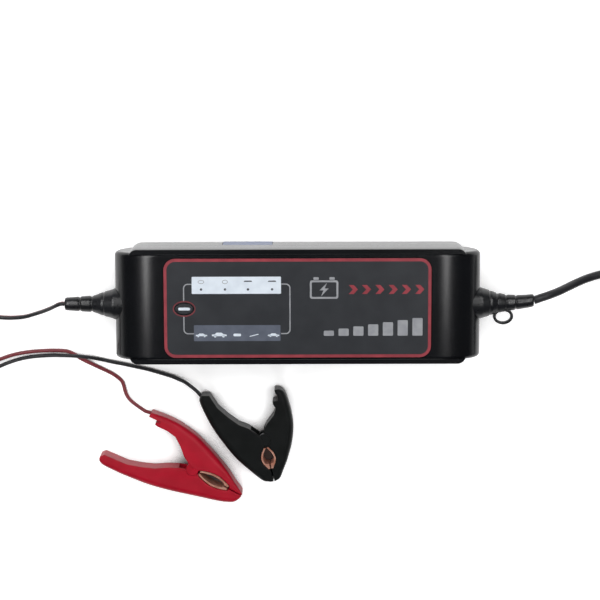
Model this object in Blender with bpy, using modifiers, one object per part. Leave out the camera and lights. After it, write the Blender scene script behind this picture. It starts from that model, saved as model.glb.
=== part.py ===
"""Car battery charger: a small moulded case with a mains lead and two clamp leads.

The case lies on its back with the label face up. The origin is at the middle of the case's
back, +X runs along the case towards the mains lead, +Z runs out of the label face. Metres.
"""
import math

import bmesh
import bpy
from mathutils import Matrix, Vector

# ---------------------------------------------------------------- driving dimensions
CLEAR = 0.0003            # gap between pieces that touch
WALL = 0.0022             # case wall

CASE_HALF_LENGTH = 0.0974
CASE_DEPTH = 0.0370
CASE_HALF_WIDTH = 0.0312
PARTING = 0.0220          # height of the joint between the two shells, and of both leads

FACE_HALF_WIDTH = 0.0287  # the raised face with its two end columns
FACE_FLAT_HALF = 0.0730   # the face is flat up to here, then it rolls over the end
CHEEK_HALF_LENGTH = 0.0895
CHEEK_CORNER = 0.0045
CHEEK_STEP = 0.0010       # the long side cheeks stand this much below the face
CHEEK_ROOT = 0.0008       # how far a cheek runs into the face
ARC_STEPS = 8

LABEL_SIZE = (0.1410, 0.0528)
LABEL_CORNER = 0.0060
LABEL_THICK = 0.0004
LABEL_POCKET = 0.0007
STICKER_X = (-0.0400, -0.0135)
STICKER_Z = (0.0035, 0.0190)

BUTTON_CENTRE = (-0.0598, -0.0006)
BUTTON_SIZE = (0.0096, 0.0060)
BUTTON_PROUD = 0.0004

SCREW_PLACES = [(-0.066, -0.0195), (0.066, -0.0195), (-0.066, 0.0195), (0.066, 0.0195)]
BOARD_TOP = 0.0070
BOARD_THICK = 0.0016
PANEL_TOP = 0.0280        # top of the small board behind the label
PANEL_LED_X = [-0.0508, -0.0382, -0.0261, -0.0134]
PANEL_LED_Y = 0.0097
LIGHT_BAR_Y = -0.0150

BOOT_NECK = 0.0084
OUTPUT_TIP = 0.1244
MAINS_TIP = 0.1262
MAINS_BEND = 0.1100       # from here the mains boot bends towards +Y
MAINS_RISE = 0.0013       # how far its tip has moved
# (distance from the middle of the case, radius) of the two moulded boots
MAINS_BOOT = [
    (0.0840, 0.0098), (0.0860, 0.0098), (0.0862, BOOT_NECK), (0.0978, BOOT_NECK),
    (0.1022, 0.0071), (0.1028, 0.0065), (0.1036, 0.0065), (0.1042, 0.0063), (0.1062, 0.0055),
    (0.1068, 0.0050), (0.1076, 0.0050), (0.1080, 0.0053), (0.1108, 0.0047), (0.1112, 0.0041),
    (0.1120, 0.0041), (0.1124, 0.0044), (0.1160, 0.0041), (0.1164, 0.0036), (0.1172, 0.0036),
    (0.1176, 0.0039), (0.1222, 0.0036), (MAINS_TIP, 0.0032)]
OUTPUT_BOOT = [
    (0.0840, 0.0098), (0.0860, 0.0098), (0.0862, BOOT_NECK), (0.0976, BOOT_NECK),
    (0.0990, 0.0078), (0.1030, 0.0067), (0.1036, 0.0062), (0.1044, 0.0062), (0.1050, 0.0060),
    (0.1075, 0.0050), (0.1092, 0.0045), (0.1096, 0.0040), (0.1104, 0.0040), (0.1108, 0.0044),
    (0.1156, 0.0041), (0.1160, 0.0036), (0.1168, 0.0036), (0.1172, 0.0039), (0.1220, 0.0036),
    (OUTPUT_TIP, 0.0031)]
HANG_LOOP = (0.1100, -0.0073, 0.0054, 0.0043)   # centre x, y, half length, half width
HANG_LOOP_BAR = 0.0015
HANG_LOOP_THICK = 0.0032

# leads
MAINS_CORD = 0.0045
WIRE = 0.0020
PAIR_STEP = 0.0024        # from one output wire's axis to the other's
COIL_GAP = 0.0005
COIL_JOIN = 0.0007        # the mains coil's ends start at a slight angle
COIL_LIFT = 0.0012        # the tie's band passes under the coil
LOOP_POINTS = 24
TIE_THICK = 0.0007

# clamps, in the clamp's own frame: pivot at the origin, +X to the nose
CLAMP_THICK = 0.0125
CLAMP_WALL = 0.0016
LUG_RADIUS = 0.0034
LUG_THICK = 0.0014
LUG_RECESS = 0.0002
PIN_RADIUS = 0.0013
JAW_THICK = 0.0010
SPRING_WIRE = 0.0009
SPRING_RISE = 0.0014      # from one turn to the next
SPRING_STEPS = 9
SPRING_LEG_ANGLE = 60.0   # where the turns meet the legs, either side of the nose direction
SPRING_TURNS = 2 + SPRING_LEG_ANGLE / 180
SPRING_LEG = 0.0080

# ---------------------------------------------------------------- scene, materials
for old in list(bpy.data.objects):
    bpy.data.objects.remove(old, do_unlink=True)

PARTS = bpy.data.collections.new("battery_charger")
CUTTERS = bpy.data.collections.new("cutters")
bpy.context.scene.collection.children.link(PARTS)
bpy.context.scene.collection.children.link(CUTTERS)


def material(name, colour, roughness, metallic=0.0):
    """A Principled material of one colour."""
    made = bpy.data.materials.new(name)
    made.use_nodes = True
    shader = made.node_tree.nodes["Principled BSDF"]
    shader.inputs["Base Color"].default_value = (*colour, 1.0)
    shader.inputs["Roughness"].default_value = roughness
    shader.inputs["Metallic"].default_value = metallic
    return made


CASE_BLACK = material("case_black", (0.014, 0.015, 0.018), 0.38)
LABEL_GREY = material("label_grey", (0.045, 0.047, 0.055), 0.45)
STICKER_BLUE = material("sticker_blue", (0.22, 0.36, 0.45), 0.50)
BOOT_BLACK = material("boot_black", (0.016, 0.017, 0.019), 0.45)
CORD_BLACK = material("cord_black", (0.020, 0.020, 0.022), 0.50)
WIRE_RED = material("wire_red", (0.36, 0.05, 0.06), 0.45)
CLAMP_RED = material("clamp_red", (0.44, 0.012, 0.030), 0.40)
CLAMP_BLACK = material("clamp_black", (0.014, 0.016, 0.016), 0.45)
COPPER = material("jaw_copper", (0.90, 0.55, 0.42), 0.30, 1.0)
STEEL = material("steel", (0.62, 0.62, 0.63), 0.35, 1.0)
BOARD_GREEN = material("board_green", (0.05, 0.20, 0.08), 0.45)
FERRITE = material("ferrite", (0.05, 0.05, 0.055), 0.60)
WINDING_AMBER = material("winding_amber", (0.70, 0.45, 0.10), 0.45)
SLEEVE_BLUE = material("sleeve_blue", (0.03, 0.07, 0.22), 0.35)
CHIP_BLACK = material("chip_black", (0.03, 0.03, 0.03), 0.50)
ALUMINIUM = material("aluminium", (0.78, 0.79, 0.80), 0.40, 1.0)
CLEAR_PLASTIC = material("clear_plastic", (0.75, 0.80, 0.80), 0.20)
TIE_BLACK = material("tie_black", (0.03, 0.03, 0.03), 0.70)


# ---------------------------------------------------------------- modelling tools
def finish(obj, name, stuff, collection=None):
    """Name an object, give it its material and put it in its collection."""
    obj.name = name
    obj.data.name = name
    obj.data.materials.clear()
    if stuff:
        obj.data.materials.append(stuff)
    for home in list(obj.users_collection):
        home.objects.unlink(obj)
    (collection or PARTS).objects.link(obj)
    return obj


def apply_scale(obj):
    """Bake the object's scale into its mesh, so that later widths stay true."""
    obj.data.transform(Matrix.Diagonal((*obj.scale, 1.0)))
    obj.scale = (1.0, 1.0, 1.0)
    return obj


def bevel(obj, width, segments=1, angle=40.0):
    """Round the edges that are sharper than the angle."""
    rounding = obj.modifiers.new("rounding", "BEVEL")
    rounding.width = width
    rounding.segments = segments
    rounding.limit_method = "ANGLE"
    rounding.angle_limit = math.radians(angle)
    return obj


def box(name, low, high, stuff=None, collection=None):
    """A block between two corners."""
    centre = [(a + b) / 2 for a, b in zip(low, high)]
    bpy.ops.mesh.primitive_cube_add(size=1.0, location=centre)
    obj = bpy.context.object
    obj.scale = [b - a for a, b in zip(low, high)]
    return finish(apply_scale(obj), name, stuff, collection)


def cylinder(name, centre, radius, length, stuff=None, collection=None, sides=24, turn=(0, 0, 0)):
    """A round bar about its centre, along Z unless it is turned."""
    bpy.ops.mesh.primitive_cylinder_add(
        vertices=sides, radius=radius, depth=length, location=centre, rotation=turn)
    obj = finish(bpy.context.object, name, stuff, collection)
    obj.data.shade_smooth()
    obj.data.set_sharp_from_angle(angle=math.radians(40))
    return obj


def to_mesh(curve_object):
    """Replace a curve object by a welded mesh of the same shape and place."""
    bpy.context.view_layer.update()
    graph = bpy.context.evaluated_depsgraph_get()
    mesh = bpy.data.meshes.new_from_object(curve_object.evaluated_get(graph))
    welding = bmesh.new()
    welding.from_mesh(mesh)
    bmesh.ops.remove_doubles(welding, verts=welding.verts, dist=1e-6)
    bmesh.ops.recalc_face_normals(welding, faces=welding.faces)
    welding.to_mesh(mesh)
    welding.free()
    obj = bpy.data.objects.new(curve_object.name, mesh)
    obj.matrix_world = curve_object.matrix_world
    bpy.context.scene.collection.objects.link(obj)
    bpy.data.objects.remove(curve_object, do_unlink=True)
    return obj


def plate(name, outlines, low, high, stuff=None, collection=None, upright=False):
    """A flat outline with a thickness: in plan from low to high, or upright along Y."""
    curve = bpy.data.curves.new(name, "CURVE")
    curve.dimensions = "2D"
    curve.fill_mode = "BOTH"
    curve.extrude = (high - low) / 2
    for outline in outlines:
        spline = curve.splines.new("POLY")
        spline.points.add(len(outline) - 1)
        for point, (x, y) in zip(spline.points, outline):
            point.co = (x, y, 0.0, 1.0)
        spline.use_cyclic_u = True
    obj = bpy.data.objects.new(name, curve)
    bpy.context.scene.collection.objects.link(obj)
    if upright:
        obj.rotation_euler = (math.pi / 2, 0.0, 0.0)
        obj.location = (0.0, (low + high) / 2, 0.0)
    else:
        obj.location = (0.0, 0.0, (low + high) / 2)
    made = to_mesh(obj)
    made.data.transform(made.matrix_world)
    made.matrix_world = Matrix.Identity(4)
    return finish(made, name, stuff, collection)


def turned(name, profile, stuff, sides=14):
    """A solid of revolution about X from (x, radius) steps, closed on the axis."""
    first, last = profile[0][0], profile[-1][0]
    points = [(first, 0.0, 0.0), *[(x, 0.0, radius) for x, radius in profile], (last, 0.0, 0.0)]
    mesh = bpy.data.meshes.new(name)
    mesh.from_pydata(points, [(i, i + 1) for i in range(len(points) - 1)], [])
    obj = bpy.data.objects.new(name, mesh)
    bpy.context.scene.collection.objects.link(obj)
    turning = obj.modifiers.new("turning", "SCREW")
    turning.axis = "X"
    turning.steps = sides
    turning.render_steps = sides
    turning.use_merge_vertices = True
    turning.merge_threshold = 0.00001
    settled(obj)
    welding = bmesh.new()
    welding.from_mesh(obj.data)
    bmesh.ops.recalc_face_normals(welding, faces=welding.faces)
    welding.to_mesh(obj.data)
    welding.free()
    obj.data.shade_smooth()
    obj.data.set_sharp_from_angle(angle=math.radians(35))
    return finish(obj, name, stuff)


def combine(target, tool, how):
    """Cut, join or trim the target with a hidden tool object."""
    tool.hide_render = True
    tool.display_type = "WIRE"
    if tool.name not in CUTTERS.objects:
        finish(tool, tool.name, None, CUTTERS)
    step = target.modifiers.new(tool.name, "BOOLEAN")
    step.operation = how
    step.object = tool
    return target


def cut(target, tool):
    return combine(target, tool, "DIFFERENCE")


def join(target, tool):
    return combine(target, tool, "UNION")


def settled(obj):
    """The object with its modifiers applied, so that it can take more of them cleanly."""
    bpy.context.view_layer.update()
    graph = bpy.context.evaluated_depsgraph_get()
    mesh = bpy.data.meshes.new_from_object(obj.evaluated_get(graph))
    obj.modifiers.clear()
    obj.data = mesh
    return obj


# ---------------------------------------------------------------- outlines
def arc(centre, radius, start, stop, steps):
    """Points on a round or oval arc, in degrees."""
    across, up = radius if isinstance(radius, tuple) else (radius, radius)
    angles = [math.radians(start + (stop - start) * i / steps) for i in range(steps + 1)]
    return [(centre[0] + across * math.cos(a), centre[1] + up * math.sin(a)) for a in angles]


def round_rectangle(centre, size, corner, steps=4):
    """A rectangle's outline with round corners."""
    half_x = size[0] / 2 - corner
    half_y = size[1] / 2 - corner
    points = []
    for turn, (sx, sy) in enumerate([(1, 1), (-1, 1), (-1, -1), (1, -1)]):
        middle = (centre[0] + sx * half_x, centre[1] + sy * half_y)
        points += arc(middle, corner, 90 * turn, 90 * turn + 90, steps)
    return points


def oval(centre, size, steps=16):
    """An ellipse's outline."""
    return arc(centre, (size[0] / 2, size[1] / 2), 0, 360 - 360 / steps, steps - 1)


def smooth(points, count, closed=False):
    """Points at even spacing on a Catmull-Rom curve through the given ones."""
    known = [Vector(p) for p in points]
    if closed:
        known = [known[-1], *known, known[0], known[1]]
    else:
        known = [2 * known[0] - known[1], *known, 2 * known[-1] - known[-2]]
    fine = []
    for a, b, c, d in zip(known, known[1:], known[2:], known[3:]):
        for i in range(16):
            t = i / 16
            fine.append(0.5 * ((2 * b) + (c - a) * t + (2 * a - 5 * b + 4 * c - d) * t * t
                               + (3 * b - a - 3 * c + d) * t ** 3))
    fine.append(known[-2])
    travelled = [0.0]
    for first, second in zip(fine, fine[1:]):
        travelled.append(travelled[-1] + (second - first).length)
    spaced = []
    index = 0
    for i in range(count):
        want = travelled[-1] * i / (count - 1)
        while index < len(fine) - 2 and travelled[index + 1] < want:
            index += 1
        span = travelled[index + 1] - travelled[index]
        spaced.append(fine[index].lerp(fine[index + 1], (want - travelled[index]) / span))
    return spaced[:-1] if closed else spaced


# ---------------------------------------------------------------- case
def column_profile(inset):
    """The case's long section in X and Z: flat, with both ends rolled over."""
    reach = CASE_HALF_LENGTH - FACE_FLAT_HALF - inset
    front = CASE_DEPTH - PARTING - inset
    back = PARTING - inset
    right = (FACE_FLAT_HALF, PARTING)
    left = (-FACE_FLAT_HALF, PARTING)
    outline = arc(right, (reach, back), -90, 0, ARC_STEPS)
    outline += arc(right, (reach, front), 0, 90, ARC_STEPS)[1:]
    outline += arc(left, (reach, front), 90, 180, ARC_STEPS)
    outline += arc(left, (reach, back), 180, 270, ARC_STEPS)[1:]
    return outline


def case_solid(name):
    """The whole outside of the case: the rolled face and two side cheeks."""
    body = plate(name, [column_profile(0.0)], -FACE_HALF_WIDTH, FACE_HALF_WIDTH, CASE_BLACK,
                 upright=True)
    bevel(body, 0.0012, 1, 50)
    settled(body)
    middle = (CHEEK_HALF_LENGTH - CHEEK_CORNER, CASE_HALF_WIDTH - CHEEK_CORNER)
    start = math.degrees(math.asin((FACE_HALF_WIDTH - CHEEK_ROOT - middle[1]) / CHEEK_CORNER))
    corner = arc(middle, CHEEK_CORNER, start, 90, 5)
    for side in (-1, 1):
        cheek = [(x, side * y) for x, y in corner] + [(-x, side * y) for x, y in reversed(corner)]
        join(body, plate(f"{name}_cheek_{side}", [cheek], CHEEK_STEP, CASE_DEPTH - CHEEK_STEP,
                         collection=CUTTERS))
    return settled(body)


def case_hollow(name):
    """The room inside the case."""
    hollow = plate(name, [column_profile(WALL)], -(FACE_HALF_WIDTH - WALL),
                   FACE_HALF_WIDTH - WALL, collection=CUTTERS, upright=True)
    rails = round_rectangle((0.0, 0.0), (0.1620, 2 * (CASE_HALF_WIDTH - WALL)), 0.004, 2)
    low = CHEEK_STEP + WALL
    join(hollow, plate(f"{name}_rails", [rails], low, CASE_DEPTH - low, collection=CUTTERS))
    return settled(hollow)


def boot_hole(shell, side):
    """The round hole in the end column that a boot comes through."""
    hole = cylinder(f"{shell.name}_boot_hole_{side}", (side * 0.0925, 0.0, PARTING),
                    BOOT_NECK + 0.0004, 0.016, collection=CUTTERS, turn=(0, math.pi / 2, 0))
    cut(shell, hole)


def front_shell():
    """The label half of the case, with its screw bosses and panel posts."""
    shell = case_solid("front_shell")
    cut(shell, box("front_trim", (-0.12, -0.05, -0.01), (0.12, 0.05, PARTING + CLEAR / 2),
                   collection=CUTTERS))
    cut(shell, case_hollow("front_hollow"))
    roof = CASE_DEPTH - WALL
    for i, (x, y) in enumerate(SCREW_PLACES, 1):
        low = PARTING + CLEAR / 2
        join(shell, cylinder(f"front_boss_{i}", (x, y, (low + roof + 0.0006) / 2), 0.0032,
                             roof + 0.0006 - low, sides=10, collection=CUTTERS))
        cut(shell, cylinder(f"front_pilot_{i}", (x, y, 0.026), 0.0015, 0.012, sides=8,
                            collection=CUTTERS))
    for i, (x, y) in enumerate([(-0.060, 0.013), (-0.060, -0.013), (-0.004, 0.013),
                                (-0.004, -0.020)], 1):
        low = PANEL_TOP + CLEAR
        join(shell, cylinder(f"panel_post_{i}", (x, y, (low + roof + 0.0006) / 2), 0.0018,
                             roof + 0.0006 - low, sides=8, collection=CUTTERS))
    pocket = round_rectangle((0.0, -0.0004), (LABEL_SIZE[0] + 0.0006, LABEL_SIZE[1] + 0.0006),
                             LABEL_CORNER + 0.0003)
    cut(shell, plate("label_pocket", [pocket], CASE_DEPTH - LABEL_POCKET, CASE_DEPTH + 0.001,
                     collection=CUTTERS))
    room = (BUTTON_SIZE[0] + 0.0008, BUTTON_SIZE[1] + 0.0008)
    cut(shell, plate("button_hole", [oval(BUTTON_CENTRE, room)], roof - 0.002,
                     CASE_DEPTH, collection=CUTTERS))
    for i, x in enumerate(PANEL_LED_X, 1):
        cut(shell, cylinder(f"led_hole_{i}", (x, PANEL_LED_Y, roof), 0.0016, 0.006, sides=16,
                            collection=CUTTERS))
    cut(shell, box("light_slot", (-0.0535, LIGHT_BAR_Y - 0.0020, roof - 0.002),
                   (-0.0105, LIGHT_BAR_Y + 0.0020, CASE_DEPTH), collection=CUTTERS))
    for side in (-1, 1):
        boot_hole(shell, side)
    return settled(shell)


def rear_shell():
    """The back half of the case, with its screw tubes and board posts."""
    shell = case_solid("rear_shell")
    cut(shell, box("rear_trim", (-0.12, -0.05, PARTING - CLEAR / 2), (0.12, 0.05, 0.05),
                   collection=CUTTERS))
    cut(shell, case_hollow("rear_hollow"))
    for i, (x, y) in enumerate(SCREW_PLACES, 1):
        top = PARTING - CLEAR / 2
        join(shell, cylinder(f"rear_tube_{i}", (x, y, (0.0015 + top) / 2), 0.0040,
                             top - 0.0015, sides=12, collection=CUTTERS))
        cut(shell, cylinder(f"rear_bore_{i}", (x, y, 0.012), 0.0017, 0.03, sides=8,
                            collection=CUTTERS))
        cut(shell, cylinder(f"rear_recess_{i}", (x, y, 0.005), 0.0030, 0.015, sides=12,
                            collection=CUTTERS))
    for i, (x, y) in enumerate([(-0.052, 0.017), (-0.052, -0.017), (0.052, 0.020),
                                (0.052, -0.020)], 1):
        top = BOARD_TOP - BOARD_THICK - CLEAR
        join(shell, cylinder(f"board_post_{i}", (x, y, (0.0015 + top) / 2), 0.0020,
                             top - 0.0015, sides=8, collection=CUTTERS))
    cut(shell, box("sticker_pocket", (STICKER_X[0] - 0.0003, CASE_HALF_WIDTH - 0.0007,
                                      STICKER_Z[0] - 0.0003),
                   (STICKER_X[1] + 0.0003, CASE_HALF_WIDTH + 0.001, STICKER_Z[1] + 0.0003),
                   collection=CUTTERS))
    for side in (-1, 1):
        boot_hole(shell, side)
    return settled(shell)


def label_overlay():
    """The printed overlay, with its hole for the button."""
    outline = round_rectangle((0.0, -0.0004), LABEL_SIZE, LABEL_CORNER)
    hole = oval(BUTTON_CENTRE, (BUTTON_SIZE[0] + 0.0008, BUTTON_SIZE[1] + 0.0008))
    return plate("label_overlay", [outline, hole], CASE_DEPTH - LABEL_THICK, CASE_DEPTH,
                 LABEL_GREY)


def side_sticker():
    """The bare sticker on the far long side."""
    face = CASE_HALF_WIDTH - 0.00005
    return box("side_sticker", (STICKER_X[0], face - 0.0003, STICKER_Z[0]),
               (STICKER_X[1], face, STICKER_Z[1]), STICKER_BLUE)


def case_screws():
    """Four screws from the back into the front shell's bosses."""
    for i, (x, y) in enumerate(SCREW_PLACES, 1):
        screw = cylinder(f"case_screw_{i}", (x, y, 0.0111), 0.0026, 0.0022, STEEL, sides=12)
        shank = cylinder(f"screw_shank_{i}", (x, y, 0.0210), 0.0012, 0.0190, sides=8,
                         collection=CUTTERS)
        slot = box(f"screw_slot_{i}", (x - 0.0018, y - 0.0003, 0.0090),
                   (x + 0.0018, y + 0.0003, 0.0107), collection=CUTTERS)
        join(screw, shank)
        cut(screw, slot)
        settled(screw)


# ---------------------------------------------------------------- button and panel
def mode_button():
    """The oval push cap: a flange under the case wall and a stem down to the switch."""
    roof = CASE_DEPTH - WALL
    cap = plate("mode_button", [oval(BUTTON_CENTRE, BUTTON_SIZE)], roof - 0.0012,
                CASE_DEPTH + BUTTON_PROUD, LABEL_GREY)
    bevel(cap, 0.0004, 1, 50)
    flange = (BUTTON_SIZE[0] + 0.0026, BUTTON_SIZE[1] + 0.0026)
    join(cap, plate("button_flange", [oval(BUTTON_CENTRE, flange)], roof - 0.0014,
                    roof - CLEAR, collection=CUTTERS))
    join(cap, cylinder("button_stem", (*BUTTON_CENTRE, 0.0329), 0.0012, 0.0020, sides=12,
                       collection=CUTTERS))
    return settled(cap)


def mode_switch():
    """The small push switch under the button: its body, and the plunger that travels."""
    x, y = BUTTON_CENTRE
    body = box("switch_body", (x - 0.0024, y - 0.0030, PANEL_TOP + CLEAR),
               (x + 0.0024, y + 0.0030, PANEL_TOP + 0.0024), CHIP_BLACK)
    cut(body, cylinder("plunger_hole", (x, y, PANEL_TOP + 0.0020), 0.0016, 0.0024, sides=16,
                       collection=CUTTERS))
    settled(body)
    cylinder("switch_plunger", (x, y, PANEL_TOP + 0.0025), 0.0012, 0.0020, CHIP_BLACK, sides=16)


def indicator_panel():
    """The small board behind the label with its lamps and light bar."""
    low = PANEL_TOP - BOARD_THICK
    outline = round_rectangle((-0.0332, -0.0035), (0.0580, 0.0420), 0.001, 1)
    plate("indicator_board", [outline], low, PANEL_TOP, BOARD_GREEN)
    for i, x in enumerate(PANEL_LED_X, 1):
        cylinder(f"led_{i}", (x, PANEL_LED_Y, PANEL_TOP + CLEAR + 0.0021), 0.0012, 0.0042,
                 CLEAR_PLASTIC, sides=12)
    box("light_bar", (-0.0525, LIGHT_BAR_Y - 0.0015, PANEL_TOP + CLEAR),
        (-0.0115, LIGHT_BAR_Y + 0.0015, CASE_DEPTH - LABEL_POCKET), CLEAR_PLASTIC)


# ---------------------------------------------------------------- power board
def transformer():
    """A ferrite core with two windows, and the winding round its middle leg."""
    x, y, low = 0.0160, 0.0, BOARD_TOP + CLEAR
    high = low + 0.0210
    core = box("transformer_core", (x - 0.0140, y - 0.0070, low), (x + 0.0140, y + 0.0070, high),
               FERRITE)
    for side in (-1, 1):
        near, far = sorted((x + side * 0.0040, x + side * 0.0100))
        cut(core, box(f"core_window_{side}", (near, -0.02, low + 0.0040), (far, 0.02, high - 0.0040),
                      collection=CUTTERS))
    settled(core)
    ring = [round_rectangle((x, y), (0.0192, 0.0240), 0.002, 2),
            round_rectangle((x, y), (0.0088, 0.0148), 0.0005, 1)]
    plate("transformer_winding", ring, low + 0.0044, high - 0.0044, WINDING_AMBER)


def power_parts():
    """The main board and the parts that stand on it."""
    low = BOARD_TOP + CLEAR
    plate("main_board", [round_rectangle((0.0, 0.0), (0.1180, 0.0480), 0.001, 1)],
          BOARD_TOP - BOARD_THICK, BOARD_TOP, BOARD_GREEN)
    transformer()
    for name, x, y, radius, height, sides in [
            ("input_capacitor", 0.0400, 0.0110, 0.0080, 0.0200, 20),
            ("output_capacitor_1", -0.0260, 0.0120, 0.0050, 0.0160, 16),
            ("output_capacitor_2", -0.0260, 0.0000, 0.0050, 0.0160, 16)]:
        can = cylinder(name, (x, y, low + height / 2), radius, height, SLEEVE_BLUE, sides=sides)
        bevel(can, 0.0006, 1, 50)
    for name, low_x, high_x, low_y, high_y, height, stuff in [
            ("filter_capacitor", 0.0440, 0.0575, -0.0220, -0.0150, 0.0120, WINDING_AMBER),
            ("bridge_rectifier", 0.0510, 0.0545, -0.0110, 0.0030, 0.0110, CHIP_BLACK),
            ("power_transistor", -0.0150, -0.0050, -0.0172, -0.0130, 0.0150, CHIP_BLACK),
            ("output_rectifier", -0.0280, -0.0180, -0.0172, -0.0130, 0.0150, CHIP_BLACK),
            ("optocoupler", -0.0080, -0.0015, 0.0060, 0.0106, 0.0035, CHIP_BLACK),
            ("controller_chip", -0.0480, -0.0380, -0.0040, 0.0040, 0.0016, CHIP_BLACK)]:
        block = box(name, (low_x, low_y, low), (high_x, high_y, low + height), stuff)
        bevel(block, 0.0003, 1, 50)
    bpy.ops.mesh.primitive_torus_add(major_radius=0.0048, minor_radius=0.0022, major_segments=14,
                                     minor_segments=6, location=(0.0362, -0.0150, low + 0.0022))
    finish(bpy.context.object, "mains_choke", WINDING_AMBER).data.shade_smooth()
    cylinder("mains_fuse", (0.0420, 0.0216, low + 0.0024), 0.0022, 0.0200, CLEAR_PLASTIC,
             sides=12, turn=(0, math.pi / 2, 0))
    heatsink()


def heatsink():
    """The aluminium comb that both power parts lean on."""
    fins = 6
    first, last, back, face = -0.0310, -0.0020, -0.0218, -0.0176
    pitch = (last - first) / (2 * fins - 1)
    outline = [(last, face), (first, face)]
    for i in range(fins):
        left = first + 2 * i * pitch
        outline += [(left, back), (left + pitch, back)]
        if i < fins - 1:
            outline += [(left + pitch, face - 0.0015), (left + 2 * pitch, face - 0.0015)]
    plate("heatsink", [outline], BOARD_TOP + CLEAR, BOARD_TOP + 0.0160, ALUMINIUM)


# ---------------------------------------------------------------- boots
def strain_reliefs():
    """The two moulded boots, the mains one with its hanging loop."""
    output = turned("dc_strain_relief", OUTPUT_BOOT, BOOT_BLACK)
    output.data.transform(Matrix.Translation((0, 0, PARTING)) @ Matrix.Rotation(math.pi, 4, "Z"))
    mains = turned("mains_strain_relief", MAINS_BOOT, BOOT_BLACK)
    mains.data.transform(Matrix.Translation((0, 0, PARTING)))
    x, y, half_x, half_y = HANG_LOOP
    ring = [oval((x, y), (2 * half_x, 2 * half_y), 16),
            oval((x, y - 0.0002), (2 * (half_x - HANG_LOOP_BAR), 2 * (half_y - HANG_LOOP_BAR)), 12)]
    loop = plate("hang_loop", ring, PARTING - HANG_LOOP_THICK / 2, PARTING + HANG_LOOP_THICK / 2,
                 collection=CUTTERS)
    join(mains, loop)
    settled(mains)
    for vert in mains.data.vertices:
        part = max(0.0, vert.co.x - MAINS_BEND) / (MAINS_TIP - MAINS_BEND)
        vert.co.y += MAINS_RISE * part * part


# ---------------------------------------------------------------- leads
def tube(name, points, thickness, stuff, sides=2):
    """A round lead along its points, with closed ends."""
    curve = bpy.data.curves.new(name, "CURVE")
    curve.dimensions = "3D"
    curve.bevel_depth = thickness / 2
    curve.bevel_resolution = sides
    curve.use_fill_caps = True
    spline = curve.splines.new("POLY")
    spline.points.add(len(points) - 1)
    for point, place in zip(spline.points, points):
        point.co = (*place, 1.0)
    obj = bpy.data.objects.new(name, curve)
    bpy.context.scene.collection.objects.link(obj)
    return finish(obj, name, stuff)


def with_stubs(points, first, last, reach=0.0010):
    """The points with a short straight stretch at both ends, square to what they meet."""
    start, end = Vector(points[0]), Vector(points[-1])
    first, last = Vector(first).normalized() * reach, Vector(last).normalized() * reach
    return [start, start + first, *points[1:-1], end - last, end]


def length_of(points):
    """Length along a row of points."""
    return sum((Vector(b) - Vector(a)).length for a, b in zip(points, points[1:]))


def coil(centre, outer, pitch, layers, turns, rise, base, start, way):
    """Points of a piled coil: it spirals in and out again and climbs a layer at each reversal.

    Angles in degrees from +X, way is 1 for anticlockwise and -1 for clockwise.
    """
    layer_turns = turns / layers
    points = []
    for i in range(round(turns * LOOP_POINTS) + 1):
        done = i / LOOP_POINTS
        layer = min(int(done / layer_turns), layers - 1)
        within = done - layer * layer_turns
        inward = within if layer % 2 == 0 else layer_turns - within
        radius = outer - pitch * inward
        height = base
        for climb in range(1, layers):
            part = (done - climb * layer_turns) * 2 + 0.5
            part = min(max(part, 0.0), 1.0)
            height += rise * part * part * (3 - 2 * part)
        angle = math.radians(start) + way * 2 * math.pi * done
        points.append((centre[0] + radius * math.cos(angle),
                       centre[1] + radius * math.sin(angle), height))
    return points


def least_gap(points, thickness, apart=LOOP_POINTS // 2):
    """The least gap between stretches of one lead that are at least half a loop apart."""
    least = 1.0
    places = [Vector(p) for p in points]
    for i, place in enumerate(places):
        for j in range(i + apart, len(places) - 1):
            first, second = places[j], places[j + 1]
            along = second - first
            part = min(max((place - first).dot(along) / along.length_squared, 0.0), 1.0)
            least = min(least, (place - first - along * part).length)
    return least - thickness


def tie(name, centre, angle, inner, outer, height, width):
    """A flat band round the bundle of a coil, with room for the bend of the loops in it."""
    inner -= width * width / (8 * inner) + inner * (1 - math.cos(math.pi / LOOP_POINTS))
    half = (outer - inner) / 2 + CLEAR + TIE_THICK
    middle = (outer + inner) / 2
    low = 0.0001
    high = height + 2 * CLEAR + TIE_THICK
    ring = [round_rectangle((middle, (low + high) / 2), (2 * half, high - low), 0.0012, 3),
            round_rectangle((middle, (low + high) / 2),
                            (2 * (half - TIE_THICK), high - low - 2 * TIE_THICK), 0.0006, 3)]
    band = plate(name, ring, -width / 2, width / 2, TIE_BLACK, upright=True)
    band.matrix_world = (Matrix.Translation((*centre, 0.0))
                         @ Matrix.Rotation(math.radians(angle), 4, "Z"))


# The mains lead: out of the boot, down to the ground, into the coil past the right of the case.
MAINS_COIL = dict(centre=(0.2100, -0.0170), outer=0.0330, pitch=MAINS_CORD + COIL_GAP, layers=4,
                  turns=9.25, rise=MAINS_CORD + COIL_GAP, base=MAINS_CORD / 2 + COIL_LIFT,
                  start=90, way=-1)
MAINS_OUT = [
    (MAINS_TIP + CLEAR, MAINS_RISE, 0.0220), (0.1280, 0.0018, 0.0220), (0.1297, 0.0024, 0.0219),
    (0.1331, 0.0034, 0.0212), (0.1348, 0.0039, 0.0207), (0.1395, 0.0052, 0.0182),
    (0.1445, 0.0068, 0.0146), (0.1505, 0.0088, 0.0102), (0.1575, 0.0110, 0.0064),
    (0.1650, 0.0128, 0.0044), (0.1760, 0.0148, 0.0036), (0.1880, 0.0157, 0.0035),
    (0.2050, 0.0160, 0.0034)]
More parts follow.
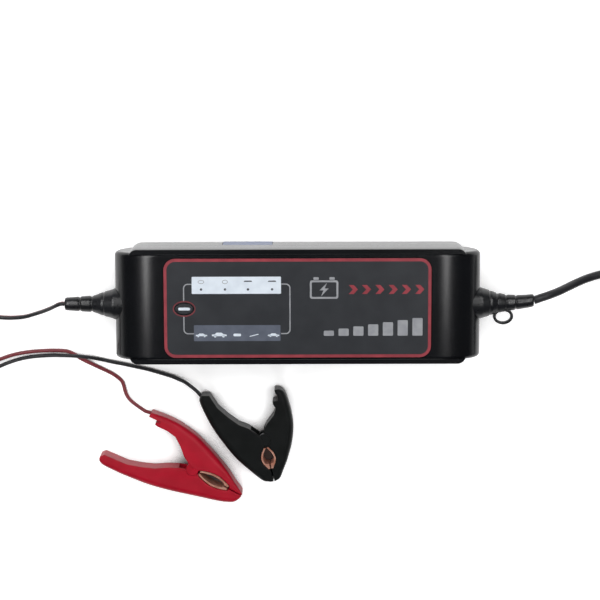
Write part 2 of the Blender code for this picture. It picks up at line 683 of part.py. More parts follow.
# The output wires: one above the other at the boot and through the coil, side by side after it.
OUTPUT_COIL = dict(centre=(-0.2080, -0.0300), outer=0.0270, pitch=WIRE + COIL_GAP, layers=2,
                   turns=6.583, rise=2 * PAIR_STEP, base=WIRE / 2 + COIL_LIFT, start=90, way=1)


def mains_lead():
    """The mains lead with its coil, tie and two-pin plug."""
    run = coil(**MAINS_COIL)
    ahead = MAINS_OUT[:-1] + [(run[0][0] - COIL_JOIN, run[0][1], run[0][2])]
    lead = with_stubs(smooth(ahead, 18), (1, 0, 0), (1, 0, 0))
    tube("mains_lead", lead, MAINS_CORD, CORD_BLACK)
    tube("mains_coil", run, MAINS_CORD, CORD_BLACK, 1)
    x, y, z = run[-1]
    tail = smooth([(x, y - COIL_JOIN, z), (x + 0.0004, y - 0.0060, z - 0.0004),
                   (x - 0.0006, y - 0.0160, z - 0.0050), (x - 0.0030, y - 0.0260, z - 0.0095),
                   (x - 0.0050, y - 0.0340, 0.0072), (x - 0.0055, y - 0.0400, 0.0070)], 14)
    tail = with_stubs(tail, (0, -1, 0), (0, -1, 0))
    tube("mains_tail", tail, MAINS_CORD, CORD_BLACK)
    inner = MAINS_COIL["outer"] - MAINS_COIL["pitch"] * MAINS_COIL["turns"] / 4 - MAINS_CORD / 2
    height = MAINS_COIL["base"] + 3 * MAINS_COIL["rise"] + MAINS_CORD / 2
    tie("mains_tie", MAINS_COIL["centre"], 225, inner, MAINS_COIL["outer"] + MAINS_CORD / 2,
        height, 0.0100)
    plug(tail[-1])
    print("mains lead", round(length_of(lead) + length_of(run) + length_of(tail), 4), "m, least gap",
          round(least_gap(run, MAINS_CORD) * 1000, 2), "mm")


def plug(entry):
    """A flat two-pin plug lying on the ground, its pins towards -Y."""
    x, y, z = entry
    top = y - CLEAR
    outline = [(x - 0.0036, top), (x + 0.0036, top)]
    outline += smooth([(x + 0.0044, top - 0.0100, 0), (x + 0.0090, top - 0.0170, 0),
                       (x + 0.0160, top - 0.0235, 0), (x + 0.0175, top - 0.0330, 0),
                       (x + 0.0172, top - 0.0370, 0)], 7)
    outline += [(2 * x - px, py) for px, py, *_ in reversed(outline[2:])]
    outline = [(p[0], p[1]) for p in outline]
    body = plate("plug_body", [outline], z - 0.0068, z + 0.0068, BOOT_BLACK)
    bevel(body, 0.0016, 2, 40)
    for i, side in enumerate((-1, 1), 1):
        pin = cylinder(f"plug_pin_{i}", (x + side * 0.0093, top - 0.0370 - CLEAR - 0.0095, z),
                       0.0020, 0.0190, STEEL, sides=12, turn=(math.pi / 2, 0, 0))
        bevel(pin, 0.0006, 1, 50)


def below(route, step):
    """The same route one step lower, square to its own direction."""
    places = [Vector(point) for point in route]
    places = [2 * places[0] - places[1], *places, 2 * places[-1] - places[-2]]
    lower = []
    for before, place, after in zip(places, places[1:], places[2:]):
        along = (after - before).normalized()
        side = along.cross(Vector((0, 0, 1))).normalized()
        lower.append(tuple(place + along.cross(side) * step))
    return lower


def output_wire(name, stuff, lift, approach, leave):
    """One output wire: from the boot to the coil, the coil, and on to its clamp."""
    setting = dict(OUTPUT_COIL)
    setting["base"] += lift
    run = coil(**setting)
    first = smooth(approach + [(run[0][0] + CLEAR, run[0][1], run[0][2])], 22)
    first = with_stubs(first, (-1, 0, 0), (-1, 0, 0))
    ahead = (Vector(run[-1]) - Vector(run[-2])).normalized()
    last = smooth([Vector(run[-1]) + ahead * CLEAR] + [Vector(p) for p in leave], 36)
    last = with_stubs(last, ahead, Vector(leave[-1]) - Vector(leave[-2]))
    tube(f"{name}_lead", first, WIRE, stuff)
    tube(f"{name}_coil", run, WIRE, stuff, 1)
    tube(f"{name}_tail", last, WIRE, stuff)
    print(name, "wire", round(length_of(first) + length_of(run) + length_of(last), 4), "m, least gap",
          round(least_gap(run, WIRE) * 1000, 2), "mm")


BLACK_APPROACH = [
    (-OUTPUT_TIP - CLEAR, 0.0000, 0.0232), (-0.1268, 0.0000, 0.0232), (-0.1298, -0.0013, 0.0214),
    (-0.1340, -0.0037, 0.0171),
    (-0.1410, -0.0068, 0.0112), (-0.1510, -0.0098, 0.0066), (-0.1640, -0.0098, 0.0052),
    (-0.1800, -0.0060, 0.0047), (-0.1950, -0.0034, 0.0046)]
BLACK_LEAVE = [
    (-0.1860, -0.0492, 0.0082), (-0.1780, -0.0448, 0.0060), (-0.1680, -0.0396, 0.0030),
    (-0.1580, -0.0354, 0.0013), (-0.1480, -0.0328, 0.0011), (-0.1365, -0.0318, 0.0011),
    (-0.1283, -0.0316, 0.0024), (-0.1217, -0.0317, 0.0035), (-0.1151, -0.0325, 0.0024),
    (-0.1086, -0.0339, 0.0011), (-0.1020, -0.0354, 0.0011), (-0.0955, -0.0367, 0.0011),
    (-0.0889, -0.0382, 0.0011), (-0.0823, -0.0397, 0.0011), (-0.0757, -0.0416, 0.0012),
    (-0.0692, -0.0436, 0.0014), (-0.0659, -0.0449, 0.0020), (-0.0624, -0.0462, 0.0032),
    (-0.0592, -0.0481, 0.0048)]
RED_LEAVE = [
    (-0.1862, -0.0480, 0.0052), (-0.1790, -0.0423, 0.0030), (-0.1690, -0.0364, 0.0012),
    (-0.1585, -0.0320, 0.0011), (-0.1480, -0.0298, 0.0011), (-0.1365, -0.0290, 0.0011),
    (-0.1283, -0.0292, 0.0011), (-0.1250, -0.0300, 0.0011), (-0.1217, -0.0317, 0.0011),
    (-0.1185, -0.0338, 0.0011), (-0.1119, -0.0371, 0.0011), (-0.1054, -0.0402, 0.0011),
    (-0.1021, -0.0419, 0.0011), (-0.0989, -0.0441, 0.0011), (-0.0967, -0.0463, 0.0011),
    (-0.0957, -0.0489, 0.0011), (-0.0951, -0.0515, 0.0013), (-0.0940, -0.0542, 0.0018),
    (-0.0921, -0.0565, 0.0027), (-0.0890, -0.0588, 0.0040)]


# ---------------------------------------------------------------- clamps
# Arm outlines in millimetres from the nose round the back to the handle, then the inner side.
RED_ARMS = dict(
    plain=([(30.4, -2.0), (28.9, -5.3), (25.1, -7.8), (15.9, -10.9), (5.1, -14.1), (-5.0, -17.0),
            (-17.0, -19.7), (-28.8, -21.1), (-38.5, -21.7), (-44.3, -21.7)],
           [(-46.8, -20.6), (-47.8, -18.0), (-46.4, -15.9)],
           [(-42.4, -15.6), (-32.8, -14.8), (-25.6, -12.5), (-18.8, -9.7), (-12.5, -5.7),
            (-6.5, -2.7)]),
    forked=([(30.6, 0.9), (28.2, 2.3), (24.3, 4.3), (18.1, 7.8), (10.3, 11.3), (1.9, 14.5),
             (-7.2, 17.3), (-17.1, 18.6), (-24.5, 18.5), (-30.0, 17.8)],
            [(-34.3, 17.0), (-34.7, 14.6), (-29.6, 14.9), (-27.4, 15.0), (-29.9, 13.2),
             (-29.6, 12.1)],
            [(-27.9, 11.9), (-22.2, 12.2), (-16.7, 11.4), (-11.5, 7.8), (-7.4, 4.0)]))
BLACK_ARMS = dict(
    plain=([(23.2, -2.6), (21.8, -6.4), (14.8, -12.0), (6.5, -17.7), (-3.1, -22.3), (-12.4, -26.0),
            (-21.4, -28.4), (-27.8, -29.5)],
           [(-30.3, -29.2), (-32.1, -27.3), (-31.0, -23.4)],
           [(-28.4, -22.5), (-23.3, -20.7), (-16.9, -16.1), (-11.5, -11.4), (-8.4, -6.8),
            (-4.5, -3.2)]),
    forked=([(23.4, 1.2), (22.6, 3.6), (18.4, 6.7), (12.9, 10.3), (5.4, 14.3), (-3.2, 17.2),
             (-11.5, 18.0), (-18.5, 17.7), (-23.2, 16.9)],
            [(-25.6, 14.8), (-26.1, 12.0), (-24.3, 11.9), (-22.2, 13.0), (-20.1, 12.5), (-20.0, 9.5),
             (-18.2, 9.3)],
            [(-15.9, 10.2), (-12.5, 8.3), (-8.3, 3.2), (-5.1, 0.9)]))
RED_WINDOW = (2.0, 4.4, 22.0)     # half width, start and end of the opening between the jaws
BLACK_WINDOW = (2.7, 4.4, 16.2)
SPRING_ROOM = (-8.0, 3.6)         # the channel is open towards the other arm between these
SOLID_END = 8.0                   # the handle's last stretch has no channel
SPRING_WALL = 2.0                 # and the channel's closed part starts this far behind the spring

# where each wire meets the end of its clamp's arm, in the clamp's frame
RED_ENTRY = [(-0.0380, 0.0151, CLAMP_THICK / 2), (-0.0351, 0.0156, CLAMP_THICK / 2)]
BLACK_ENTRY = [(-0.0343, -0.0302, CLAMP_THICK / 2), (-0.0317, -0.0287, CLAMP_THICK / 2)]


def jaw_line(window, side, extra, stop=None, points=6):
    """The hollow inner line of a jaw: a low arch, extra outside the copper's face."""
    half_gap, start, end = window
    stop = stop or end
    line = []
    for i in range(points):
        x = start + (stop - start) * i / (points - 1)
        bow = math.sin(math.pi * (x - start) / (end - start))
        line.append((x, side * (0.25 + half_gap * bow + extra)))
    return line


def channel(back_line, inner_line, side):
    """The room inside an arm: a wall's thickness from both its lines, and open at the spring."""
    wall = side * CLAMP_WALL * 1000
    last = back_line[-1][0] + SOLID_END
    first, front = SPRING_ROOM
    deep = [(x, y - wall) for x, y in back_line if last < x < front]
    shallow = [(x, y + wall) for x, y in inner_line if last < x < first - SPRING_WALL]
    past = -side * 2.0
    return [(front, deep[0][1])] + deep + shallow + [(first, past), (front, past)]


def clamp_arm(name, arm, side, nose, window, outer_lugs, stuff, place):
    """One hollow arm of a clamp, with the lugs that the pin goes through."""
    back, end, inner = arm
    start, stop = window[1:]
    gap = JAW_THICK * 1000 + 0.3
    jaw = jaw_line(window, side, gap)
    tip = [(stop + 0.4, side * (0.25 + gap)), (stop + 0.5, side * 0.25), (nose, side * 0.25)]
    back_line = [(p.x, p.y) for p in smooth([(*p, 0) for p in back], 10)]
    inner_line = [(p.x, p.y) for p in smooth([(*p, 0) for p in inner], 6)]
    outline = back_line + end + inner_line + [(-1.0, side * 0.6), (start - 1.0, side * 0.6)]
    outline += jaw + tip
    solid = plate(name, [[(x / 1000, y / 1000) for x, y in outline]], 0.0, CLAMP_THICK, stuff)
    bevel(solid, 0.0012, 1, 60)
    settled(solid)
    room = channel(back_line, inner_line, side)
    pocket = plate(f"{name}_pocket", [[(x / 1000, y / 1000) for x, y in room]],
                   CLAMP_WALL, CLAMP_THICK - CLAMP_WALL, collection=CUTTERS)
    cut(solid, pocket)
    add_lugs(solid, name, side, outer_lugs)
    cut(solid, cylinder(f"{name}_bore", (0, 0, CLAMP_THICK / 2), PIN_RADIUS + 0.0004, 0.03,
                        sides=12, collection=CUTTERS))
    settled(solid)
    solid.matrix_world = place
    return solid


def add_lugs(solid, name, side, outer_lugs):
    """Round lugs about the pivot: in line with the side walls, or nested inside them."""
    if outer_lugs:
        low = LUG_RECESS
    else:
        low = CLAMP_WALL + CLEAR
        cut(solid, cylinder(f"{name}_clearance", (0, 0, CLAMP_THICK / 2), LUG_RADIUS + 0.0005, 0.03,
                            sides=16, collection=CUTTERS))
    for i, bottom in enumerate((low, CLAMP_THICK - low - LUG_THICK)):
        join(solid, cylinder(f"{name}_lug_{i}", (0, 0, bottom + LUG_THICK / 2), LUG_RADIUS, LUG_THICK,
                             sides=16, collection=CUTTERS))
        if outer_lugs:
            continue
        near, far = sorted((side * 0.0025, side * 0.0066))
        join(solid, box(f"{name}_tongue_{i}", (-0.003, near, bottom + 0.0001),
                        (0.003, far, bottom + LUG_THICK - 0.0001), collection=CUTTERS))
        near, far = sorted((side * 0.0046, side * 0.0064))
        reach = -0.0010 if i == 0 else 0.0010
        heights = sorted((bottom + LUG_THICK / 2, bottom + LUG_THICK / 2 + reach * 1.6))
        join(solid, box(f"{name}_bridge_{i}", (-0.0028, near, heights[0]),
                        (0.0028, far, heights[1]), collection=CUTTERS))


def jaw_plate(name, side, window, place):
    """A copper strip along a jaw's hollow, with teeth at its tip."""
    stop = window[2]
    face = jaw_line(window, side, 0.0, stop - 3.0)
    teeth = [(stop - 2.4, side * 0.9), (stop - 1.8, side * 0.25), (stop - 1.2, side * 0.9),
             (stop - 0.6, side * 0.25), (stop, side * 0.25)]
    back = jaw_line(window, side, JAW_THICK * 1000)
    outline = face + teeth + list(reversed(back))
    strip = plate(name, [[(x / 1000, y / 1000) for x, y in outline]], 0.0006, CLAMP_THICK - 0.0006,
                  COPPER)
    strip.matrix_world = place
    return strip


def clamp_spring(name, place):
    """The coil spring round the pivot pin, with a leg along each handle."""
    radius = PIN_RADIUS + 0.0006 + SPRING_WIRE / 2
    low = (CLAMP_THICK - SPRING_RISE * SPRING_TURNS) / 2
    points = []
    for i in range(round(SPRING_TURNS * SPRING_STEPS) + 1):
        angle = math.radians(-SPRING_LEG_ANGLE) + 2 * math.pi * i / SPRING_STEPS
        height = low + SPRING_RISE * i / SPRING_STEPS
        points.append(Vector((radius * math.cos(angle), radius * math.sin(angle), height)))
    print(name, "least gap", round(least_gap(points, SPRING_WIRE, SPRING_STEPS // 2) * 1000, 2), "mm")
    first = (points[0] - points[1]).normalized() * SPRING_LEG
    last = (points[-1] - points[-2]).normalized() * SPRING_LEG
    spring = tube(name, [points[0] + first, *points, points[-1] + last], SPRING_WIRE, STEEL, 1)
    spring.matrix_world = place


def clamp(name, arms, cable_arm, nose, window, centre, angle, stuff):
    """A spring clamp lying on its side: two arms, jaws, pin and spring."""
    place = Matrix.Translation((*centre, 0.0)) @ Matrix.Rotation(math.radians(angle), 4, "Z")
    sides = dict(plain=-1, forked=1)
    free_arm = "plain" if cable_arm == "forked" else "forked"
    for role, arm in (("cable_arm", cable_arm), ("free_arm", free_arm)):
        side = sides[arm]
        clamp_arm(f"{name}_{role}", arms[arm], side, nose, window, role == "cable_arm", stuff, place)
        jaw_plate(f"{name}_{role}_jaw", side, window, place)
    pin = cylinder(f"{name}_pin", (0, 0, 0), PIN_RADIUS, CLAMP_THICK - 0.0006, STEEL, sides=16)
    pin.matrix_world = place @ Matrix.Translation((0, 0, CLAMP_THICK / 2))
    clamp_spring(f"{name}_spring", place)
    return place


# ---------------------------------------------------------------- build
front_shell()
rear_shell()
label_overlay()
side_sticker()
case_screws()
mode_button()
mode_switch()
indicator_panel()
power_parts()
strain_reliefs()
mains_lead()
red_place = clamp("red_clamp", RED_ARMS, "forked", 30.4, RED_WINDOW, (-0.0579, -0.0934), -28.9,
                  CLAMP_RED)
black_place = clamp("black_clamp", BLACK_ARMS, "plain", 23.2, BLACK_WINDOW, (-0.0185, -0.0773), -77.0,
                    CLAMP_BLACK)
red_entry = [red_place @ Vector(point) for point in RED_ENTRY]
black_entry = [black_place @ Vector(point) for point in BLACK_ENTRY]
output_wire("red_wire", WIRE_RED, 0.0, below(BLACK_APPROACH, PAIR_STEP), RED_LEAVE + red_entry)
output_wire("black_wire", CORD_BLACK, PAIR_STEP, BLACK_APPROACH, BLACK_LEAVE + black_entry)
tie("output_tie", OUTPUT_COIL["centre"], 200,
    OUTPUT_COIL["outer"] - OUTPUT_COIL["pitch"] * OUTPUT_COIL["turns"] / 2 - WIRE / 2,
    OUTPUT_COIL["outer"] + WIRE / 2, OUTPUT_COIL["base"] + 3 * PAIR_STEP + WIRE / 2, 0.0080)
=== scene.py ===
# %% [markdown]
# # A small car battery charger
#
# The charger is a moulded box with rounded end columns, a dark printed overlay, a mains lead with a
# plug and two thin output wires that end in spring clamps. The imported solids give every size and
# place, so each piece below is made where its solid lies, with the finish that the eye expects.

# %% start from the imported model
import math

import bmesh
import bpy
from mathutils import Matrix, Vector


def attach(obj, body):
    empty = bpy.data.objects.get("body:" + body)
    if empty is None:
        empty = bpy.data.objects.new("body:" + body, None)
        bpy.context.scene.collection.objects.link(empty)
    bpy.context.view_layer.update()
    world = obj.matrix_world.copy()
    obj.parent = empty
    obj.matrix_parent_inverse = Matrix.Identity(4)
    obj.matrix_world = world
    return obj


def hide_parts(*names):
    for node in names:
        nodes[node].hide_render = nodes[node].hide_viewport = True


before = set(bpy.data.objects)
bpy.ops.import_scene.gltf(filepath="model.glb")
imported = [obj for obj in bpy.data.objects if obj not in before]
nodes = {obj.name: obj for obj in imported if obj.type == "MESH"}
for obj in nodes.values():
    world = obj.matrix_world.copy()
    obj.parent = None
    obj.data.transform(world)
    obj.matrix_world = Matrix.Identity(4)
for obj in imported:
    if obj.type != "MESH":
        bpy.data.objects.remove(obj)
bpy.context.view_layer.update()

# %% [markdown]
# ## The camera
#
# The photograph looks down on the label, leaning a little towards the far long side, through a long
# lens. Its place is worked out from the case's length and from how much of the far side shows.

# %% camera
CAMERA_LEAN = math.radians(8.5)
CAMERA_DISTANCE = 0.978
CAMERA_AIM = Vector((0.0013, 0.0040, 0.0370))
CAMERA_LENS = 111.37          # mm, on a 36 mm sensor
CAMERA_ROLL = math.radians(-0.15)


def linked(name, data):
    """An object that shows some data, in the scene."""
    obj = bpy.data.objects.new(name, data)
    bpy.context.scene.collection.objects.link(obj)
    return obj


def make_camera():
    """The camera of the photograph."""
    data = bpy.data.cameras.new("camera")
    data.sensor_width = 36.0
    data.lens = CAMERA_LENS
    data.clip_start = 0.01
    camera = linked("camera", data)
    lean = Matrix.Rotation(-CAMERA_LEAN, 4, "X")
    back = lean @ Vector((0.0, 0.0, CAMERA_DISTANCE))
    camera.matrix_world = (Matrix.Translation(CAMERA_AIM + back) @ lean
                           @ Matrix.Rotation(CAMERA_ROLL, 4, "Z"))
    bpy.context.scene.camera = camera
    return camera


camera = make_camera()
print("camera at", [round(x, 3) for x in camera.matrix_world.translation])

# %% [markdown]
# ## Colours and nodes
#
# Colours are written as they look on a screen, so one function turns them to the linear values that
# the shaders need. A second one adds a node and a third feeds its sockets, and they build every finish.

# %% colour and node helpers
def linear(code):
    """An sRGB hex code as linear red, green, blue and alpha."""
    parts = [int(code[i:i + 2], 16) / 255 for i in (0, 2, 4)]
    return [p / 12.92 if p <= 0.04045 else ((p + 0.055) / 1.055) ** 2.4 for p in parts] + [1.0]


def feed(tree, node, sockets):
    """Feed a node's sockets; each takes a value, or a (node, output) pair to link from."""
    for name, value in sockets.items():
        if isinstance(value, tuple) and isinstance(value[0], bpy.types.Node):
            tree.links.new(value[0].outputs[value[1]], node.inputs[name])
        else:
            node.inputs[name].default_value = value


def add(tree, kind, sockets=None, **settings):
    """Add one node with its settings, and feed its sockets."""
    made = tree.nodes.new("ShaderNode" + kind)
    for name, value in settings.items():
        setattr(made, name, value)
    feed(tree, made, sockets or {})
    return made


def new_material(name):
    """A material with its shader and nothing on it yet."""
    made = bpy.data.materials.new(name)
    made.use_nodes = True
    return made, made.node_tree, made.node_tree.nodes["Principled BSDF"]


# %% [markdown]
# ## Light, floor and world
#
# Product photographs of black plastic use long soft boxes at both sides: each rolled end column shows
# one as a pale upright band, while the flat face reflects the dark ceiling and stays black. The boxes
# reach further over the far side, so the bands fade towards the near side. The floor is white to the
# camera and in reflections; where the charger stands close over it, a painted shade darkens its colour
# and its glow.

# %% stage
BOX_HEIGHT = 0.50
BOX_X = (-0.295, 0.250)       # middle of the left and of the right long box
BOX_WIDE = 0.075
BOX_LOW_Y, BOX_HIGH_Y = -0.065, 0.60
BOX_POWER = (1.75, 1.30)
FILL_POWER = 7.1
LOW_FILL_POWER = 1.0
SKY_DARK = linear("26272A")
SKY_FADE = (-0.02, 0.16)      # the sine of the height at which the sky turns from white to dark
FLOOR_GLOW = 0.62
FLOOR_SHADE = 0.040           # pieces nearer than this can shade the floor below them
SHADE_FADE = (0.27, 0.50)     # the open share of the sky at which the floor is dark, and white


def area_lamp(name, size, power, place, aim, in_reflections=True):
    """A flat lamp that points at a place; a fill lamp stays out of the reflections."""
    light = bpy.data.lights.new(name, "AREA")
    light.shape = "RECTANGLE"
    light.size, light.size_y = size
    light.energy = power
    lamp = linked(name, light)
    turn = (Vector(place) - Vector(aim)).to_track_quat("Z", "Y")
    lamp.matrix_world = Matrix.Translation(place) @ turn.to_matrix().to_4x4()
    lamp.visible_glossy = in_reflections
    return lamp


def pale_backdrop(tree, seen, other):
    """Where the camera, a reflection or glass looks, the first output counts, and otherwise the second."""
    path = add(tree, "LightPath")
    either = add(tree, "Math", {0: (path, "Is Camera Ray"), 1: (path, "Is Glossy Ray")},
                 operation="MAXIMUM")
    any_of = add(tree, "Math", {0: (either, 0), 1: (path, "Is Transmission Ray")},
                 operation="MAXIMUM")
    return add(tree, "MixShader", {0: (any_of, 0), 1: (other, 0), 2: (seen, 0)})


def make_world():
    """White along the horizon and dark overhead, the same for every ray."""
    world = bpy.data.worlds.new("studio")
    world.use_nodes = True
    tree = world.node_tree
    tree.nodes.clear()
    direction = add(tree, "TexCoord")
    height = add(tree, "SeparateXYZ", {0: (direction, "Generated")})
    fade = add(tree, "MapRange", {"Value": (height, "Z"), "From Min": SKY_FADE[0],
                                  "From Max": SKY_FADE[1]}, interpolation_type="SMOOTHSTEP")
    sky = add(tree, "Mix", {0: (fade, 0), 6: linear("FFFFFF"), 7: SKY_DARK}, data_type="RGBA")
    glow = add(tree, "Background", {"Color": (sky, 2), "Strength": 1.0})
    add(tree, "OutputWorld", {"Surface": (glow, 0)})
    bpy.context.scene.world = world


def make_floor():
    """A wide white sheet of card under the charger, darkened by painted shade close under pieces."""
    bm = bmesh.new()
    bmesh.ops.create_grid(bm, x_segments=1, y_segments=1, size=4.0)
    mesh = bpy.data.meshes.new("floor")
    bm.to_mesh(mesh)
    bm.free()
    floor = linked("floor", mesh)
    card, tree, shader = new_material("white_card_painted_shade")
    tree.nodes.remove(shader)
    # Painted shade: where little of the sky is open, the card's colour turns dark grey and its glow fades
    # out.
    open_sky = add(tree, "AmbientOcclusion", {"Distance": FLOOR_SHADE}, samples=8)
    reach = add(tree, "MapRange", {"Value": (open_sky, "AO"), "From Min": SHADE_FADE[0],
                                   "From Max": SHADE_FADE[1]})
    shade = add(tree, "Mix", {0: (reach, 0), 6: linear("6A6462"), 7: linear("E4E4E4")}, data_type="RGBA")
    matt = add(tree, "BsdfDiffuse", {"Color": (shade, 2)})
    strength = add(tree, "Math", {0: (reach, 0), 1: FLOOR_GLOW}, operation="MULTIPLY")
    glow = add(tree, "Emission", {"Color": linear("FFFFFF"), "Strength": (strength, 0)})
    lit = add(tree, "AddShader", {0: (matt, 0), 1: (glow, 0)})
    shown = pale_backdrop(tree, lit, matt)
    tree.links.new(shown.outputs[0], tree.nodes["Material Output"].inputs["Surface"])
    mesh.materials.append(card)


bpy.context.scene.view_settings.view_transform = "Standard"
for x, name, power in zip(BOX_X, ("left", "right"), BOX_POWER):
    place = (x, (BOX_LOW_Y + BOX_HIGH_Y) / 2, BOX_HEIGHT)
    area_lamp(f"{name}_soft_box", (BOX_WIDE, BOX_HIGH_Y - BOX_LOW_Y), power, place, (*place[:2], 0.0))
area_lamp("overhead_fill", (1.2, 1.2), FILL_POWER, (0.0, 0.10, 1.10), (0.0, 0.0, 0.0), False)
area_lamp("low_fill", (0.8, 0.3), LOW_FILL_POWER, (0.0, -0.80, 0.35), (0.0, 0.0, 0.02), False)
make_world()
make_floor()
print("two soft boxes of", BOX_POWER, "W")

# %% [markdown]
# ## Plain plastics, rubbers and metals
#
# Most pieces are injection moulded. Such a surface is never quite even: the tool's spark-eroded grain
# breaks the gloss up, and larger areas differ a little in shade where the melt flowed. One recipe
# covers this, with the real grain size and depth for each plastic.

# %% moulded and drawn materials
def grained(name, code, second, roughness, grain, depth, patch, spread=0.06, **uniform):
    """A surface with fine grain in its bump and roughness, and a slow drift between two shades."""
    made, tree, shader = new_material(name)
    spot = add(tree, "TexCoord")
    fine = add(tree, "TexNoise", {"Vector": (spot, "Object"), "Scale": 1 / grain, "Detail": 3.0})
    slow = add(tree, "TexNoise", {"Vector": (spot, "Object"), "Scale": 1 / patch, "Detail": 2.0})
    drift = add(tree, "MapRange", {"Value": (slow, 0), "From Min": 0.35, "From Max": 0.65})
    shade = add(tree, "Mix", {0: (drift, 0), 6: linear(code), 7: linear(second)}, data_type="RGBA")
    gloss = add(tree, "MapRange", {"Value": (fine, 0), "From Min": 0.3, "From Max": 0.7,
                                   "To Min": roughness - spread, "To Max": roughness + spread})
    relief = add(tree, "Bump", {"Height": (fine, 0), "Strength": 0.6, "Distance": depth})
    feed(tree, shader, {"Base Color": (shade, 2), "Roughness": (gloss, 0), "Normal": (relief, 0)})
    feed(tree, shader, {socket.replace("_", " "): value for socket, value in uniform.items()})
    return made


# ABS with a fine spark-eroded grain: deep black with a satin gloss.
case_abs = grained("black_moulded_abs", "0D0E10", "111215", 0.24, 0.0007, 0.000003, 0.03, spread=0.03,
                   IOR=1.50)
# Soft PVC over the leads: duller, with the wavy skin of a hand-filled mould.
boot_pvc = grained("black_soft_pvc", "141517", "1B1C1F", 0.32, 0.0011, 0.000018, 0.012, IOR=1.52)
# Extruded PVC jacket: even and matt, with faint drawing marks.
jacket_pvc = grained("black_extruded_pvc", "1C1C1F", "242427", 0.45, 0.0009, 0.000020, 0.02, IOR=1.52)
red_pvc = grained("red_extruded_pvc", "7E2A31", "6C242A", 0.42, 0.0008, 0.000018, 0.02, IOR=1.52)
# Glass-filled polypropylene for the clamps: a hard satin skin with slight flow marks.
red_pp = grained("red_moulded_polypropylene", "B20D28", "A60822", 0.44, 0.0010, 0.000016, 0.009,
                 IOR=1.49, Specular_IOR_Level=0.28)
black_pp = grained("black_moulded_polypropylene", "0E1010", "131515", 0.48, 0.0010, 0.000020, 0.009,
                   IOR=1.49, Specular_IOR_Level=0.25)
# Copper-plated spring steel, dulled in the air: its thin oxide film scatters part of the light, so it
# mirrors less and shows its colour from every side. A metallic value of a half gives that look.
copper = grained("dulled_copper_plate", "E9B29E", "CC8A72", 0.34, 0.0009, 0.000010, 0.004,
                 Metallic=0.5)
spring_steel = grained("phosphated_spring_steel", "9A9A9C", "7C7C80", 0.36, 0.0007, 0.000008, 0.003,
                       Metallic=1.0)
nickel = grained("nickel_plated_brass", "CFCBC2", "BDB8AE", 0.22, 0.0012, 0.000004, 0.006,
                 spread=0.04, Metallic=1.0)
zinc = grained("zinc_plated_steel", "B9BCC0", "A7A9B2", 0.34, 0.0006, 0.000006, 0.003, Metallic=1.0)
aluminium = grained("extruded_aluminium", "C9CACC", "B4B6B9", 0.38, 0.0008, 0.000010, 0.006,
                    Metallic=1.0)
epoxy = grained("black_moulded_epoxy", "202022", "2A2A2C", 0.52, 0.0006, 0.000012, 0.004, IOR=1.55)
ferrite = grained("sintered_ferrite", "3A3A3D", "2C2C2F", 0.60, 0.0005, 0.000020, 0.004, IOR=1.60)
sleeve = grained("blue_shrink_sleeve", "263A66", "1E2F55", 0.32, 0.0015, 0.000012, 0.006, IOR=1.50)
clear_epoxy = grained("clear_cast_epoxy", "DDE4E4", "CFD8D8", 0.16, 0.0020, 0.000003, 0.005,
                      spread=0.03, IOR=1.50, Transmission_Weight=0.7)
sticker_paper = grained("blue_varnished_paper", "8590AE", "7A86A6", 0.46, 0.0009, 0.000010, 0.008,
                        IOR=1.47)
print("materials so far:", len(bpy.data.materials))

# %% [markdown]
# ## Tools for shapes
#
# A flat outline becomes a solid by filling and extruding it, a round piece by spinning its profile,
# and a free form by laying a grid over rings of points. Solids are joined and cut with Boolean
# modifiers whose result is kept as the mesh.

# %% outlines
MERGE = 0.000001
CURVE_STEPS = 24              # points on a smooth curve from one given point to the next


def arc(centre, radius, start, stop, steps):
    """Points on a round or oval arc, in degrees."""
    across, up = radius if isinstance(radius, tuple) else (radius, radius)
    angles = [math.radians(start + (stop - start) * i / steps) for i in range(steps + 1)]
    return [(centre[0] + across * math.cos(a), centre[1] + up * math.sin(a)) for a in angles]


def round_rectangle(centre, size, corner, steps=8):
    """A rectangle's outline with round corners."""
    half_x = size[0] / 2 - corner
    half_y = size[1] / 2 - corner
    points = []
    for turn, (sx, sy) in enumerate([(1, 1), (-1, 1), (-1, -1), (1, -1)]):
        middle = (centre[0] + sx * half_x, centre[1] + sy * half_y)
        points += arc(middle, corner, 90 * turn, 90 * turn + 90, steps)
    return points


def oval(centre, size, steps=48):
    """An ellipse's outline."""
    return arc(centre, (size[0] / 2, size[1] / 2), 0, 360 - 360 / steps, steps - 1)


def smooth(points, count):
    """Points at even spacing on a Catmull-Rom curve through the given ones."""
    known = [Vector(p) for p in points]
    known = [2 * known[0] - known[1], *known, 2 * known[-1] - known[-2]]
    fine = []
    for a, b, c, d in zip(known, known[1:], known[2:], known[3:]):
        for i in range(CURVE_STEPS):
            t = i / CURVE_STEPS
            fine.append(0.5 * ((2 * b) + (c - a) * t + (2 * a - 5 * b + 4 * c - d) * t * t
                               + (3 * b - a - 3 * c + d) * t ** 3))
    fine.append(known[-2])
    return spaced(fine, count)


def spaced(points, count):
    """Points at even spacing along a row of points."""
    points = [Vector(p) for p in points]
    travelled = [0.0]
    for first, second in zip(points, points[1:]):
        travelled.append(travelled[-1] + (second - first).length)
    made = []
    index = 0
    for i in range(count):
        want = travelled[-1] * i / (count - 1)
        while index < len(points) - 2 and travelled[index + 1] < want:
            index += 1
        span = max(travelled[index + 1] - travelled[index], 1e-12)
        made.append(points[index].lerp(points[index + 1], (want - travelled[index]) / span))
    return made


def length_of(points):
    """Length along a row of points."""
    return sum((Vector(b) - Vector(a)).length for a, b in zip(points, points[1:]))


# %% solids
def closed(bm):
    """Merge doubles and turn every face outwards."""
    bmesh.ops.remove_doubles(bm, verts=bm.verts, dist=MERGE)
    bmesh.ops.recalc_face_normals(bm, faces=bm.faces)
    return bm


